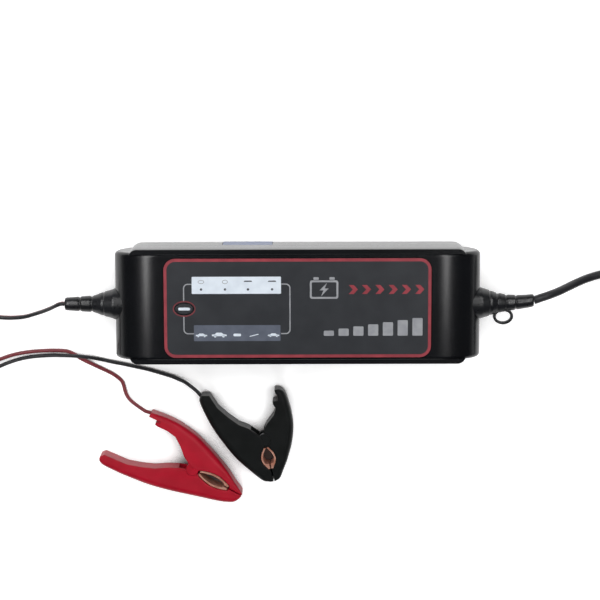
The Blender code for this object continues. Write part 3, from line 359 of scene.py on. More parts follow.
def prism(outlines, low, high, bm=None):
    """One outline, with or without holes, filled and extruded from low to high."""
    bm = bm or bmesh.new()
    edges = []
    for outline in outlines:
        ring = [bm.verts.new((x, y, low)) for x, y in outline]
        edges += [bm.edges.new((a, b)) for a, b in zip(ring, ring[1:] + ring[:1])]
    filled = bmesh.ops.triangle_fill(bm, use_beauty=True, use_dissolve=len(outlines) == 1,
                                     edges=edges)
    faces = [f for f in filled["geom"] if isinstance(f, bmesh.types.BMFace)]
    lifted = bmesh.ops.extrude_face_region(bm, geom=faces)
    corners = [v for v in lifted["geom"] if isinstance(v, bmesh.types.BMVert)]
    bmesh.ops.translate(bm, verts=corners, vec=(0.0, 0.0, high - low))
    return bm


def round_edges(bm, width, segments, wanted):
    """Bevel the sharp edges that a test picks."""
    closed(bm)
    picked = [e for e in bm.edges if len(e.link_faces) == 2
              and e.calc_face_angle(0.0) > math.radians(50) and wanted(e)]
    bmesh.ops.bevel(bm, geom=picked, offset=width, segments=segments, profile=0.5,
                    affect="EDGES", material=-1, clamp_overlap=True)
    return bm


def any_edge(edge):
    """Every sharp edge."""
    return True


def upright(bm):
    """Stand a plan outline up: its Y becomes Z and its thickness runs along Y."""
    bmesh.ops.rotate(bm, verts=bm.verts, cent=(0, 0, 0), matrix=Matrix.Rotation(math.pi / 2, 3, "X"))
    return bm


def rod(centre, radius, low, high, sides=48):
    """A round bar along Z."""
    return prism([oval(centre, (2 * radius, 2 * radius), sides)], low, high)


def block(low, high):
    """A box between two corners."""
    bm = bmesh.new()
    bmesh.ops.create_cube(bm, size=1.0)
    for vert in bm.verts:
        vert.co = [(a + b) / 2 + (b - a) * c for a, b, c in zip(low, high, vert.co)]
    return bm


def spun(profile, steps=64):
    """A solid of revolution about X from (x, radius) steps."""
    bm = bmesh.new()
    first, last = profile[0][0], profile[-1][0]
    line = [(first, 0.0), *profile, (last, 0.0)]
    verts = [bm.verts.new((x, 0.0, radius)) for x, radius in line]
    edges = [bm.edges.new(pair) for pair in zip(verts, verts[1:])]
    bmesh.ops.spin(bm, geom=verts + edges, angle=2 * math.pi, steps=steps, axis=(1, 0, 0),
                   cent=(0, 0, 0), use_merge=True)
    return closed(bm)


def wrapped(rings, caps=True):
    """A skin over rings of points, each ring closed on itself and as long as the others."""
    bm = bmesh.new()
    around, along = len(rings[0]), len(rings) - 1
    bmesh.ops.create_grid(bm, x_segments=around, y_segments=along, size=0.5)
    for vert in bm.verts:
        i = round((vert.co.x + 0.5) * around) % around
        j = round((vert.co.y + 0.5) * along)
        vert.co = rings[j][i]
    closed(bm)
    if caps:
        open_edges = [e for e in bm.edges if len(e.link_faces) == 1]
        bmesh.ops.holes_fill(bm, edges=open_edges, sides=0)
    return closed(bm)


def solid(bm):
    """An object from a bmesh, for cutting and joining."""
    closed(bm)
    mesh = bpy.data.meshes.new("solid")
    bm.to_mesh(mesh)
    bm.free()
    return linked("solid", mesh)


def shaped(obj, tool, how="DIFFERENCE"):
    """Cut or join an object with a tool, and keep the result as its mesh."""
    tool = tool if isinstance(tool, bpy.types.Object) else solid(tool)
    step = obj.modifiers.new("shaping", "BOOLEAN")
    step.operation = how
    step.object = tool
    graph = bpy.context.evaluated_depsgraph_get()
    mesh = bpy.data.meshes.new_from_object(obj.evaluated_get(graph))
    obj.modifiers.clear()
    obj.data = mesh
    bpy.data.objects.remove(tool, do_unlink=True)
    return obj


def finished(obj, name, material, body="root", stands_for=(), sharp=35.0, even=True):
    """Name a piece, give it its finish, and let it ride on its body."""
    obj.name = name
    obj.data.name = name
    obj.data.materials.clear()
    obj.data.materials.append(material)
    obj.data.shade_smooth()
    obj.data.set_sharp_from_angle(angle=math.radians(sharp))
    if even:
        flatter = obj.modifiers.new("flat faces stay flat", "WEIGHTED_NORMAL")
        flatter.keep_sharp = True
    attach(obj, body)
    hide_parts(*stands_for)
    return obj


# %% [markdown]
# ## The cords
#
# The mains lead is 1.7 m of 4.5 mm round PVC cord, and the two output wires are single 2 mm wires of
# about 1.2 m, each with a clamp. What the picture doesn't show is wound up just past its edges. Each
# cord is one curve: out of its boot, down to the ground, round the coil and on to its end.

# %% routes
PARTING = 0.0220
OUTPUT_TIP = 0.1244
MAINS_TIP = 0.1262
MAINS_RISE = 0.0013          # the mains boot bends this far towards +Y at its tip
CLEAR = 0.0003
MAINS_CORD = 0.0045
WIRE = 0.0020
PAIR_STEP = 0.0024
COIL_GAP = 0.0005
COIL_LIFT = 0.0012
CLAMP_THICK = 0.0125
LOOP_POINTS = 48

MAINS_COIL = dict(centre=(0.2100, -0.0170), outer=0.0330, pitch=MAINS_CORD + COIL_GAP, layers=4,
                  turns=9.25, rise=MAINS_CORD + COIL_GAP, base=MAINS_CORD / 2 + COIL_LIFT,
                  start=90, way=-1)
MAINS_OUT = [
    (MAINS_TIP + CLEAR, MAINS_RISE, 0.0220), (0.1280, 0.0018, 0.0220), (0.1297, 0.0024, 0.0219),
    (0.1331, 0.0034, 0.0212), (0.1348, 0.0039, 0.0207), (0.1395, 0.0052, 0.0182),
    (0.1445, 0.0068, 0.0146), (0.1505, 0.0088, 0.0102), (0.1575, 0.0110, 0.0064),
    (0.1650, 0.0128, 0.0044), (0.1760, 0.0148, 0.0036), (0.1880, 0.0157, 0.0035)]
OUTPUT_COIL = dict(centre=(-0.2080, -0.0300), outer=0.0270, pitch=WIRE + COIL_GAP, layers=2,
                   turns=6.583, rise=2 * PAIR_STEP, base=WIRE / 2 + COIL_LIFT, start=90, way=1)
BLACK_APPROACH = [
    (-OUTPUT_TIP - CLEAR, 0.0000, 0.0232), (-0.1268, 0.0000, 0.0232), (-0.1298, -0.0013, 0.0214),
    (-0.1340, -0.0037, 0.0171), (-0.1410, -0.0068, 0.0112), (-0.1510, -0.0098, 0.0066),
    (-0.1640, -0.0098, 0.0052), (-0.1800, -0.0060, 0.0047), (-0.1950, -0.0034, 0.0046)]
BLACK_LEAVE = [
    (-0.1860, -0.0492, 0.0082), (-0.1780, -0.0448, 0.0060), (-0.1680, -0.0396, 0.0030),
    (-0.1580, -0.0354, 0.0013), (-0.1480, -0.0328, 0.0011), (-0.1365, -0.0318, 0.0011),
    (-0.1283, -0.0316, 0.0024), (-0.1217, -0.0317, 0.0035), (-0.1151, -0.0325, 0.0024),
    (-0.1086, -0.0339, 0.0011), (-0.1020, -0.0354, 0.0011), (-0.0955, -0.0367, 0.0011),
    (-0.0889, -0.0382, 0.0011), (-0.0823, -0.0397, 0.0011), (-0.0757, -0.0416, 0.0012),
    (-0.0692, -0.0436, 0.0014), (-0.0659, -0.0449, 0.0020), (-0.0624, -0.0462, 0.0032),
    (-0.0592, -0.0481, 0.0048)]
RED_LEAVE = [
    (-0.1862, -0.0480, 0.0052), (-0.1790, -0.0423, 0.0030), (-0.1690, -0.0364, 0.0012),
    (-0.1585, -0.0320, 0.0011), (-0.1480, -0.0298, 0.0011), (-0.1365, -0.0290, 0.0011),
    (-0.1283, -0.0292, 0.0011), (-0.1250, -0.0300, 0.0011), (-0.1217, -0.0317, 0.0011),
    (-0.1185, -0.0338, 0.0011), (-0.1119, -0.0371, 0.0011), (-0.1054, -0.0402, 0.0011),
    (-0.1021, -0.0419, 0.0011), (-0.0989, -0.0441, 0.0011), (-0.0967, -0.0463, 0.0011),
    (-0.0957, -0.0489, 0.0011), (-0.0951, -0.0515, 0.0013), (-0.0940, -0.0542, 0.0018),
    (-0.0921, -0.0565, 0.0027), (-0.0890, -0.0588, 0.0040)]
# Inside its arm each wire runs on to the jaw; these points are in the clamp's own frame.
RED_INNER = [(-0.0380, 0.0151), (-0.0351, 0.0156), (-0.0290, 0.0163), (-0.0230, 0.0160)]
BLACK_INNER = [(-0.0343, -0.0302), (-0.0317, -0.0287), (-0.0270, -0.0262), (-0.0210, -0.0240)]
RED_PLACE = Matrix.Translation((-0.0579, -0.0934, 0.0)) @ Matrix.Rotation(math.radians(-28.9), 4, "Z")
BLACK_PLACE = Matrix.Translation((-0.0185, -0.0773, 0.0)) @ Matrix.Rotation(math.radians(-77.0), 4, "Z")


def coil(centre, outer, pitch, layers, turns, rise, base, start, way):
    """Points of a piled coil: it spirals in and out again and climbs a layer at each reversal."""
    layer_turns = turns / layers
    points = []
    for i in range(round(turns * LOOP_POINTS) + 1):
        done = i / LOOP_POINTS
        layer = min(int(done / layer_turns), layers - 1)
        within = done - layer * layer_turns
        inward = within if layer % 2 == 0 else layer_turns - within
        radius = outer - pitch * inward
        height = base
        for climb in range(1, layers):
            part = min(max((done - climb * layer_turns) * 2 + 0.5, 0.0), 1.0)
            height += rise * part * part * (3 - 2 * part)
        angle = math.radians(start) + way * 2 * math.pi * done
        points.append((centre[0] + radius * math.cos(angle),
                       centre[1] + radius * math.sin(angle), height))
    return points


def below(route, step):
    """The same route one step lower, square to its own direction."""
    places = [Vector(point) for point in route]
    places = [2 * places[0] - places[1], *places, 2 * places[-1] - places[-2]]
    lower = []
    for before, place, after in zip(places, places[1:], places[2:]):
        along = (after - before).normalized()
        side = along.cross(Vector((0, 0, 1))).normalized()
        lower.append(tuple(place + along.cross(side) * step))
    return lower


def cord(name, points, thickness, material, stands_for):
    """A round cord along its points, with closed ends."""
    curve = bpy.data.curves.new(name, "CURVE")
    curve.dimensions = "3D"
    curve.bevel_depth = thickness / 2
    curve.bevel_resolution = 5
    curve.use_fill_caps = True
    spline = curve.splines.new("POLY")
    spline.points.add(len(points) - 1)
    for point, place in zip(spline.points, points):
        point.co = (*place, 1.0)
    curve.materials.append(material)
    obj = linked(name, curve)
    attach(obj, "root")
    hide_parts(*stands_for)
    return obj


mains_turns = coil(**MAINS_COIL)
MAINS_END = Vector(mains_turns[-1]) + Vector((-0.0055, -0.0400, 0.0))
MAINS_END.z = 0.0070
x, y, z = mains_turns[-1]
MAINS_TAIL = [(x, y, z), (x + 0.0004, y - 0.0060, z - 0.0004), (x - 0.0006, y - 0.0160, z - 0.0050),
              (x - 0.0030, y - 0.0260, z - 0.0095), (x - 0.0050, y - 0.0340, 0.0072),
              tuple(MAINS_END), tuple(MAINS_END - Vector((0.0, 0.0060, 0.0)))]
mains_route = (smooth([*MAINS_OUT, mains_turns[0]], 70)[:-1] + [Vector(p) for p in mains_turns]
               + smooth(MAINS_TAIL, 44)[1:])
mains_cord = cord("mains_cord", mains_route, MAINS_CORD, jacket_pvc,
                  ["mains_lead", "mains_coil", "mains_tail"])


def output_route(lift, approach, leave, inner, place):
    """One output wire: from the boot to the coil, round it, and on into its clamp's arm."""
    turns = coil(**{**OUTPUT_COIL, "base": OUTPUT_COIL["base"] + lift})
    within = [place @ Vector((px, py, CLAMP_THICK / 2)) for px, py in inner]
    first = smooth([*approach, turns[0]], 80)
    last = smooth([turns[-1], *leave, *within], 150)
    return first[:-1] + [Vector(p) for p in turns] + last[1:]


red_route = output_route(0.0, below(BLACK_APPROACH, PAIR_STEP), RED_LEAVE, RED_INNER, RED_PLACE)
black_route = output_route(PAIR_STEP, BLACK_APPROACH, BLACK_LEAVE, BLACK_INNER, BLACK_PLACE)
red_cord = cord("red_output_wire", red_route, WIRE, red_pvc,
                ["red_wire_lead", "red_wire_coil", "red_wire_tail"])
black_cord = cord("black_output_wire", black_route, WIRE, jacket_pvc,
                  ["black_wire_lead", "black_wire_coil", "black_wire_tail"])
print("cords:", [round(length_of(r), 3) for r in (mains_route, red_route, black_route)], "m")

# %% [markdown]
# ## The case
#
# The case is two ABS halves. In the long direction the face is flat and rolls over both ends like a
# column, and along each long side a straight cheek stands one millimetre lower. Each half is the
# rolled block and two cheeks joined, then hollowed to a 2.2 mm wall.

# %% case sizes
CASE_HALF_LENGTH = 0.0974
CASE_DEPTH = 0.0370
CASE_HALF_WIDTH = 0.0312
WALL = 0.0022
FACE_HALF_WIDTH = 0.0287
FACE_FLAT_HALF = 0.0730
CHEEK_HALF_LENGTH = 0.0895
CHEEK_CORNER = 0.0045
CHEEK_STEP = 0.0010
CHEEK_ROOT = 0.0008
COLUMN_STEPS = 28
FACE_ROUND = 0.0022
CHEEK_CROWN = 0.0007          # how far a cheek draws in from the parting line to its rim
CROWN_STEPS = 16
FRONT_LOW = PARTING + CLEAR / 2
REAR_HIGH = PARTING - CLEAR / 2
LABEL_SIZE = (0.1410, 0.0528)
LABEL_CENTRE = (0.0, -0.0004)
LABEL_CORNER = 0.0060
LABEL_POCKET = 0.0007
BUTTON_CENTRE = (-0.0598, -0.0006)
BUTTON_SIZE = (0.0096, 0.0060)
BUTTON_GAP = 0.0004
BUTTON_HOLE = oval(BUTTON_CENTRE, [size + 2 * BUTTON_GAP for size in BUTTON_SIZE])
SCREW_PLACES = [(x, y) for x in (-0.066, 0.066) for y in (-0.0195, 0.0195)]
FRONT_POST, REAR_POST = 0.0032, 0.0040        # radii of the two posts that a screw joins
SCREW_CORE, SCREW_SHANK, SCREW_HEAD = 0.0015, 0.0017, 0.0030
CORE_Z = (0.0200, 0.0320)
SHANK_TOP, HEAD_TOP, REAR_POST_LOW = 0.0230, 0.0125, 0.0015
RAIL_LENGTH, RAIL_CORNER = 0.1620, 0.004      # of the room that reaches into both cheeks
BOOT_NECK = 0.0084
BOOT_GAP = 0.0004
BOOT_HOLE_X = (0.0845, 0.1005)
STICKER_X = (-0.0400, -0.0135)
STICKER_Z = (0.0035, 0.0190)
STICKER_POCKET = 0.0007
PAST = 0.001                  # how far a cutter reaches past what it cuts


def half_profile(front, inset, edge):
    """Half of the case's long section in X and Z, above or below a level edge."""
    reach = CASE_HALF_LENGTH - FACE_FLAT_HALF - inset
    if front:
        depth = CASE_DEPTH - PARTING - inset
        return (arc((FACE_FLAT_HALF, edge), (reach, depth - edge + PARTING), 0, 90, COLUMN_STEPS)
                + arc((-FACE_FLAT_HALF, edge), (reach, depth - edge + PARTING), 90, 180,
                      COLUMN_STEPS))
    depth = edge - inset
    return (arc((-FACE_FLAT_HALF, edge), (reach, depth), 180, 270, COLUMN_STEPS)
            + arc((FACE_FLAT_HALF, edge), (reach, depth), 270, 360, COLUMN_STEPS))


def outside(front):
    """The outside of one half of the case as a solid."""
    edge = FRONT_LOW if front else REAR_HIGH

    def away_from_edge(e):
        return max(abs(v.co.z - edge) for v in e.verts) > MERGE

    rolled = upright(prism([half_profile(front, 0.0, edge)], -FACE_HALF_WIDTH, FACE_HALF_WIDTH))
    body = solid(round_edges(rolled, FACE_ROUND, 6, away_from_edge))
    middle = (CHEEK_HALF_LENGTH - CHEEK_CORNER, CASE_HALF_WIDTH - CHEEK_CORNER)
    start = math.degrees(math.asin((FACE_HALF_WIDTH - CHEEK_ROOT - middle[1]) / CHEEK_CORNER))
    corner = arc(middle, CHEEK_CORNER, start, 90, 12)
    rim = CASE_DEPTH - CHEEK_STEP if front else CHEEK_STEP
    for side in (-1, 1):
        shaped(body, crowned_cheek(corner, side, edge, rim), "UNION")
    return body


def crowned_cheek(corner, side, edge, rim):
    """A straight cheek that an oval crown draws in more and more towards its rim."""
    root = FACE_HALF_WIDTH - CHEEK_ROOT
    rings = []
    for i in range(CROWN_STEPS + 1):
        turn = math.pi / 2 * i / CROWN_STEPS
        inset = CHEEK_CROWN * (1 - math.cos(turn))
        shrink = (CASE_HALF_WIDTH - inset - root) / (CASE_HALF_WIDTH - root)
        half = [(x - inset, root + (y - root) * shrink) for x, y in corner]
        ring = half + [(-x, y) for x, y in reversed(half)]
        rings.append([(x, side * y, edge + (rim - edge) * math.sin(turn)) for x, y in ring])
    return wrapped(rings)


def inside(front):
    """The room inside one half, as a cutter that reaches past the parting line."""
    edge = PARTING
    room = solid(upright(prism([half_profile(front, WALL, edge)], -(FACE_HALF_WIDTH - WALL),
                               FACE_HALF_WIDTH - WALL)))
    rails = round_rectangle((0.0, 0.0), (RAIL_LENGTH, 2 * (CASE_HALF_WIDTH - WALL)), RAIL_CORNER)
    deep = CHEEK_STEP + WALL
    low, high = (edge - PAST, CASE_DEPTH - deep) if front else (deep, edge + PAST)
    shaped(room, prism([rails], low, high), "UNION")
    return room


def boot_hole(shell, side):
    """The round hole in an end column that a boot comes through."""
    hole = spun([(x, BOOT_NECK + BOOT_GAP) for x in BOOT_HOLE_X], 48)
    turn = Matrix.Rotation(0.0 if side > 0 else math.pi, 4, "Z")
    bmesh.ops.transform(hole, verts=hole.verts, matrix=Matrix.Translation((0, 0, PARTING)) @ turn)
    shaped(shell, hole)


# %% the two halves
def front_half():
    """The label half, with its pocket for the overlay and the hole for the button."""
    shell = outside(True)
    shaped(shell, inside(True))
    roof = CASE_DEPTH - WALL
    for x, y in SCREW_PLACES:
        shaped(shell, rod((x, y), FRONT_POST, FRONT_LOW, roof + 2 * CLEAR, 24), "UNION")
        shaped(shell, rod((x, y), SCREW_CORE, *CORE_Z, 16))
    pocket = round_rectangle(LABEL_CENTRE, [size + 2 * CLEAR for size in LABEL_SIZE],
                             LABEL_CORNER + CLEAR)
    shaped(shell, prism([pocket], CASE_DEPTH - LABEL_POCKET, CASE_DEPTH + PAST))
    shaped(shell, prism([BUTTON_HOLE], roof - 2 * PAST, CASE_DEPTH + PAST))
    for side in (-1, 1):
        boot_hole(shell, side)
    return finished(shell, "front_case_moulding", case_abs, stands_for=["front_shell"])


def rear_half():
    """The back half, with sunk screw holes and the shallow place for the sticker."""
    shell = outside(False)
    shaped(shell, inside(False))
    for x, y in SCREW_PLACES:
        shaped(shell, rod((x, y), REAR_POST, REAR_POST_LOW, REAR_HIGH, 32), "UNION")
        shaped(shell, rod((x, y), SCREW_SHANK, -PAST, SHANK_TOP, 16))
        shaped(shell, rod((x, y), SCREW_HEAD, -PAST, HEAD_TOP, 32))
    shaped(shell, block((STICKER_X[0] - CLEAR, CASE_HALF_WIDTH - STICKER_POCKET, STICKER_Z[0] - CLEAR),
                        (STICKER_X[1] + CLEAR, CASE_HALF_WIDTH + PAST, STICKER_Z[1] + CLEAR)))
    for side in (-1, 1):
        boot_hole(shell, side)
    return finished(shell, "rear_case_moulding", case_abs, stands_for=["rear_shell"])


front = front_half()
rear = rear_half()
print("case halves:", len(front.data.polygons), len(rear.data.polygons), "faces")

# %% [markdown]
# ## The printed overlay
#
# The label is a polycarbonate film, printed from behind: a dark field, a red border, a pale panel of
# status marks and a grey panel of battery kinds, joined by a thin line through the button. The inks
# are modelled as layers a few hundredths of a millimetre thick, so their edges stay crisp.

# %% overlay materials
# Polycarbonate film has a very fine orange-peel skin, so its gloss is soft.
film = grained("dark_polycarbonate_film", "2D2F33", "282A2E", 0.42, 0.0008, 0.000010, 0.012, IOR=1.58,
               Specular_IOR_Level=0.35)
# The screen inks have one recipe: they differ in their pigment and in how far its shade drifts.
red_ink, dull_red_ink, white_ink, grey_ink, pale_ink, dark_ink = (
    grained(f"{name}_screen_ink", code, second, 0.45, 0.0008, 0.000008, patch, IOR=1.50)
    for name, code, second, patch in (
        ("red", "983640", "862E38", 0.006), ("dull_red", "7A2F36", "6B2A31", 0.004),
        ("white", "DDE6EF", "D3DCE6", 0.006), ("slate", "595F6D", "515764", 0.006),
        ("pale_grey", "9A9CA0", "8C8E93", 0.004), ("charcoal", "4A4E55", "41454B", 0.004)))

# %% overlay layers
FILM_TOP = CASE_DEPTH - 0.00006
FILM_LOW = CASE_DEPTH - 0.0004
INK = 0.00002
BORDER = 0.0016


def printed(name, shapes, material, layer=1):
    """One ink: shapes, each an outline with its holes, lying on the film."""
    bm = bmesh.new()
    for outlines in shapes:
        prism(outlines, FILM_TOP - INK / 2, FILM_TOP + layer * INK, bm)
    return finished(solid(bm), name, material, even=False)


label_edge = round_rectangle(LABEL_CENTRE, LABEL_SIZE, LABEL_CORNER)
border_edge = round_rectangle(LABEL_CENTRE, [size - 2 * BORDER for size in LABEL_SIZE],
                              LABEL_CORNER - BORDER)
finished(solid(prism([label_edge, BUTTON_HOLE], FILM_LOW, FILM_TOP)), "overlay_film", film,
         stands_for=["label_overlay"], even=False)
printed("overlay_border", [[label_edge, border_edge]], red_ink)

# %% panels and the line through the button
WHITE_PANEL = (-0.0322, 0.0119, 0.0470, 0.0091)
GREY_PANEL = (-0.0319, -0.0136, 0.0457, 0.0085)
LOOP_LINE = (-0.0600, -0.0040, -0.0139, 0.0125)     # left, right, low and high
LINE = 0.0006
LINE_CORNER = 0.0022
LINE_GAP = 0.0012             # between the line's ends and the button


def panel(x, y, width, height, corner=0.0004):
    """A panel's outline."""
    return round_rectangle((x, y), (width, height), corner, 3)


def strip(points, width):
    """A thin line of even width along its points, as an outline."""
    places = [Vector((*p, 0.0)) for p in points]
    left, right = [], []
    for i, place in enumerate(places):
        along = (places[min(i + 1, len(places) - 1)] - places[max(i - 1, 0)]).normalized()
        side = Vector((-along.y, along.x, 0.0)) * width / 2
        left.append((place.x + side.x, place.y + side.y))
        right.append((place.x - side.x, place.y - side.y))
    return left + right[::-1]


def bracket_lines():
    """The left line, broken by the button, and the right one; their ends turn to the panels."""
    left, right, low, high = LOOP_LINE
    gap = BUTTON_SIZE[1] / 2 + LINE_GAP
    corner = LINE_CORNER
    reach = WHITE_PANEL[0] + WHITE_PANEL[2] / 2
    upper = [(WHITE_PANEL[0] - WHITE_PANEL[2] / 2, high),
             *arc((left + corner, high - corner), corner, 90, 180, 6),
             (left, BUTTON_CENTRE[1] + gap)]
    lower = [(left, BUTTON_CENTRE[1] - gap), *arc((left + corner, low + corner), corner, 180, 270, 6),
             (GREY_PANEL[0] - GREY_PANEL[2] / 2, low)]
    whole = [(reach, high), *arc((right - corner, high - corner), corner, 90, 0, 6),
             *arc((right - corner, low + corner), corner, 360, 270, 6), (reach, low)]
    return [[strip(line, LINE)] for line in (upper, lower, whole)]


printed("overlay_white_panel", [[panel(*WHITE_PANEL)]], white_ink)
printed("overlay_grey_panel", [[panel(*GREY_PANEL)]], grey_ink)
printed("overlay_lines", bracket_lines(), pale_ink)
printed("button_ring", [[oval(BUTTON_CENTRE, (0.0120, 0.0084)), oval(BUTTON_CENTRE, (0.0108, 0.0072))]],
        dull_red_ink)

# %% status marks and battery kinds
STATUS_X = [-0.0508, -0.0382, -0.0261, -0.0134]
STATUS_Y = 0.0137
DOT_Y = 0.0097
KIND_Y = -0.0152


def outlined(centre, size, width):
    """An oval ring."""
    return [oval(centre, size, 24), oval(centre, (size[0] - 2 * width, size[1] - 2 * width), 24)]


def car(x, y, length):
    """A small side view of a car: body, roof and two wheels."""
    high = length * 0.24
    body = [(x - length / 2, y), (x - length / 2, y + high * 0.45), (x - length * 0.30, y + high * 0.55),
            (x - length * 0.18, y + high), (x + length * 0.14, y + high),
            (x + length * 0.30, y + high * 0.55), (x + length / 2, y + high * 0.42),
            (x + length / 2, y)]
    wheels = [[oval((x + way * length * 0.28, y - high * 0.05), (high * 0.7, high * 0.7), 16)]
              for way in (-1, 1)]
    return [[body], *wheels]


def slanted(x, y, length, rise, width):
    """A thin slanting stroke."""
    return [strip([(x - length / 2, y - rise / 2), (x + length / 2, y + rise / 2)], width)]


status = [outlined((STATUS_X[0], STATUS_Y), (0.0034, 0.0020), 0.0003),
          outlined((STATUS_X[1], STATUS_Y), (0.0030, 0.0022), 0.0003)]
printed("status_outlines", status, pale_ink, 2)
printed("status_bars", [[round_rectangle((x, STATUS_Y), (0.0044, 0.0014), 0.0007, 4)]
                        for x in STATUS_X[2:]]
        + [[oval((x, DOT_Y), (0.0013, 0.0013), 20)] for x in STATUS_X], dark_ink, 2)
kinds = [*car(-0.0508, KIND_Y, 0.0060), *car(-0.0414, KIND_Y, 0.0078),
         [round_rectangle((-0.0319, KIND_Y + 0.0006), (0.0040, 0.0014), 0.0005, 3)],
         slanted(-0.0230, KIND_Y + 0.0004, 0.0046, 0.0012, 0.0004), *car(-0.0127, KIND_Y, 0.0060)]
printed("battery_kinds", kinds, white_ink, 2)

# %% a plain pictogram for the right half
SIGN_X = 0.0140
SIGN_Y = 0.0095
SIGN_SIZE = (0.0150, 0.0098)
BOLT = [(0.0016, 0.0036), (-0.0024, -0.0004), (-0.0003, -0.0004), (-0.0016, -0.0036),
        (0.0024, 0.0006), (0.0003, 0.0006)]
CHEVRON_X = [0.0270 + 0.0070 * i for i in range(6)]
LEVEL_X = [0.0165 + 0.0078 * i for i in range(7)]


def battery_sign():
    """A car battery seen from the side, with its two posts and a spark in it."""
    width, height = SIGN_SIZE
    shell = [round_rectangle((SIGN_X, SIGN_Y), (width, height), 0.0012, 5),
             round_rectangle((SIGN_X, SIGN_Y), (width - 0.0020, height - 0.0020), 0.0006, 4)]
    posts = [[round_rectangle((SIGN_X + way * width * 0.28, SIGN_Y + height / 2 + 0.0010),
                              (0.0028, 0.0014), 0.0004, 3)] for way in (-1, 1)]
    bolt = [[(SIGN_X + x, SIGN_Y + y) for x, y in BOLT]]
    return [shell, *posts, bolt]


def chevron(x, y, half, width):
    """One arrow head pointing right."""
    return [[(x, y + half), (x + width, y + half), (x + width + half * 0.9, y), (x + width, y - half),
             (x, y - half), (x + half * 0.9, y)]]


def level_bar(i, x):
    """One bar of the charge level, each taller than the last."""
    height = 0.0028 + 0.0011 * i
    return [round_rectangle((x, -0.0152 + height / 2), (0.0054, height), 0.0005, 3)]


printed("battery_pictogram", battery_sign(), pale_ink)
printed("charging_chevrons", [chevron(x, SIGN_Y, 0.0024, 0.0026) for x in CHEVRON_X], red_ink)
printed("level_bars", [level_bar(i, x) for i, x in enumerate(LEVEL_X)], pale_ink)
print("overlay layers done")

# %% [markdown]
# ## The button
#
# The push cap is the same film-grey plastic, an oval that stands a little proud of the label. Its
# flange keeps it in the case, and a pale bar is printed on top.

# %% button
BUTTON_TOP = CASE_DEPTH + 0.0004
BUTTON_ROUND = 0.0006
CAP_DEEP, FLANGE_DEEP = 0.0012, 0.0014        # below the case's roof
FLANGE_REACH = 0.0013
STEM_RADIUS, STEM_Z = 0.0012, (0.0319, 0.0339)


def button_cap():
    """The cap, its flange and its stem."""
    roof = CASE_DEPTH - WALL
    cap = solid(round_edges(prism([oval(BUTTON_CENTRE, BUTTON_SIZE)], roof - CAP_DEEP, BUTTON_TOP),
                            BUTTON_ROUND, 5, lambda e: min(v.co.z for v in e.verts) > CASE_DEPTH))
    flange = oval(BUTTON_CENTRE, [size + 2 * FLANGE_REACH for size in BUTTON_SIZE])
    shaped(cap, prism([flange], roof - FLANGE_DEEP, roof - CLEAR), "UNION")
    shaped(cap, rod(BUTTON_CENTRE, STEM_RADIUS, *STEM_Z, 24), "UNION")
    return finished(cap, "button_cap", film, "button", ["mode_button"])


cap = button_cap()
bar = prism([round_rectangle(BUTTON_CENTRE, (0.0062, 0.0015), 0.0006, 5)], BUTTON_TOP - INK / 2,
            BUTTON_TOP + INK)
finished(solid(bar), "button_bar", white_ink, "button", even=False)
print("button cap", len(cap.data.polygons), "faces")

# %% [markdown]
# ## The moulded boots
#
# Both leads leave through soft PVC boots. A wide collar sits in the case wall, then the boot narrows
# in steps with thin grooves that let it bend. The mains boot has a flat oval loop to hang the case by.

# %% boots
MAINS_BEND = 0.1100
MAINS_BOOT = [
    (0.0840, 0.0096), (0.0860, 0.0096), (0.0862, BOOT_NECK), (0.0978, BOOT_NECK), (0.0990, 0.0080),
    (0.1022, 0.0071), (0.1026, 0.0065), (0.1036, 0.0065), (0.1040, 0.0064), (0.1062, 0.0055),
    (0.1066, 0.0050), (0.1076, 0.0050), (0.1080, 0.0053), (0.1108, 0.0047), (0.1112, 0.0041),
    (0.1120, 0.0041), (0.1124, 0.0044), (0.1160, 0.0041), (0.1164, 0.0036), (0.1172, 0.0036),
    (0.1176, 0.0039), (0.1222, 0.0036), (0.1250, 0.0035), (MAINS_TIP, 0.0032)]
OUTPUT_BOOT = [
    (0.0840, 0.0096), (0.0860, 0.0096), (0.0862, BOOT_NECK), (0.0976, BOOT_NECK), (0.0990, 0.0078),
    (0.1030, 0.0067), (0.1034, 0.0062), (0.1044, 0.0062), (0.1050, 0.0060), (0.1075, 0.0050),
    (0.1092, 0.0045), (0.1096, 0.0040), (0.1104, 0.0040), (0.1108, 0.0044), (0.1156, 0.0041),
    (0.1160, 0.0036), (0.1168, 0.0036), (0.1172, 0.0039), (0.1220, 0.0036), (0.1234, 0.0035),
    (OUTPUT_TIP, 0.0031)]
HANG_LOOP = (0.1100, -0.0073, 0.0054, 0.0043)
HANG_LOOP_BAR = 0.0015
HANG_LOOP_THICK = 0.0032
HANG_LOOP_STEPS = 48


def boot(profile, turn):
    """One boot, spun about the lead and turned to its end of the case."""
    bm = spun(profile)
    bmesh.ops.bevel(bm, geom=[e for e in bm.edges if e.calc_face_angle(0.0) > math.radians(24)],
                    offset=0.00018, segments=2, profile=0.5, affect="EDGES", material=-1,
                    clamp_overlap=True)
    place = Matrix.Translation((0, 0, PARTING)) @ Matrix.Rotation(turn, 4, "Z")
    bmesh.ops.transform(bm, verts=bm.verts, matrix=place)
    return solid(bm)


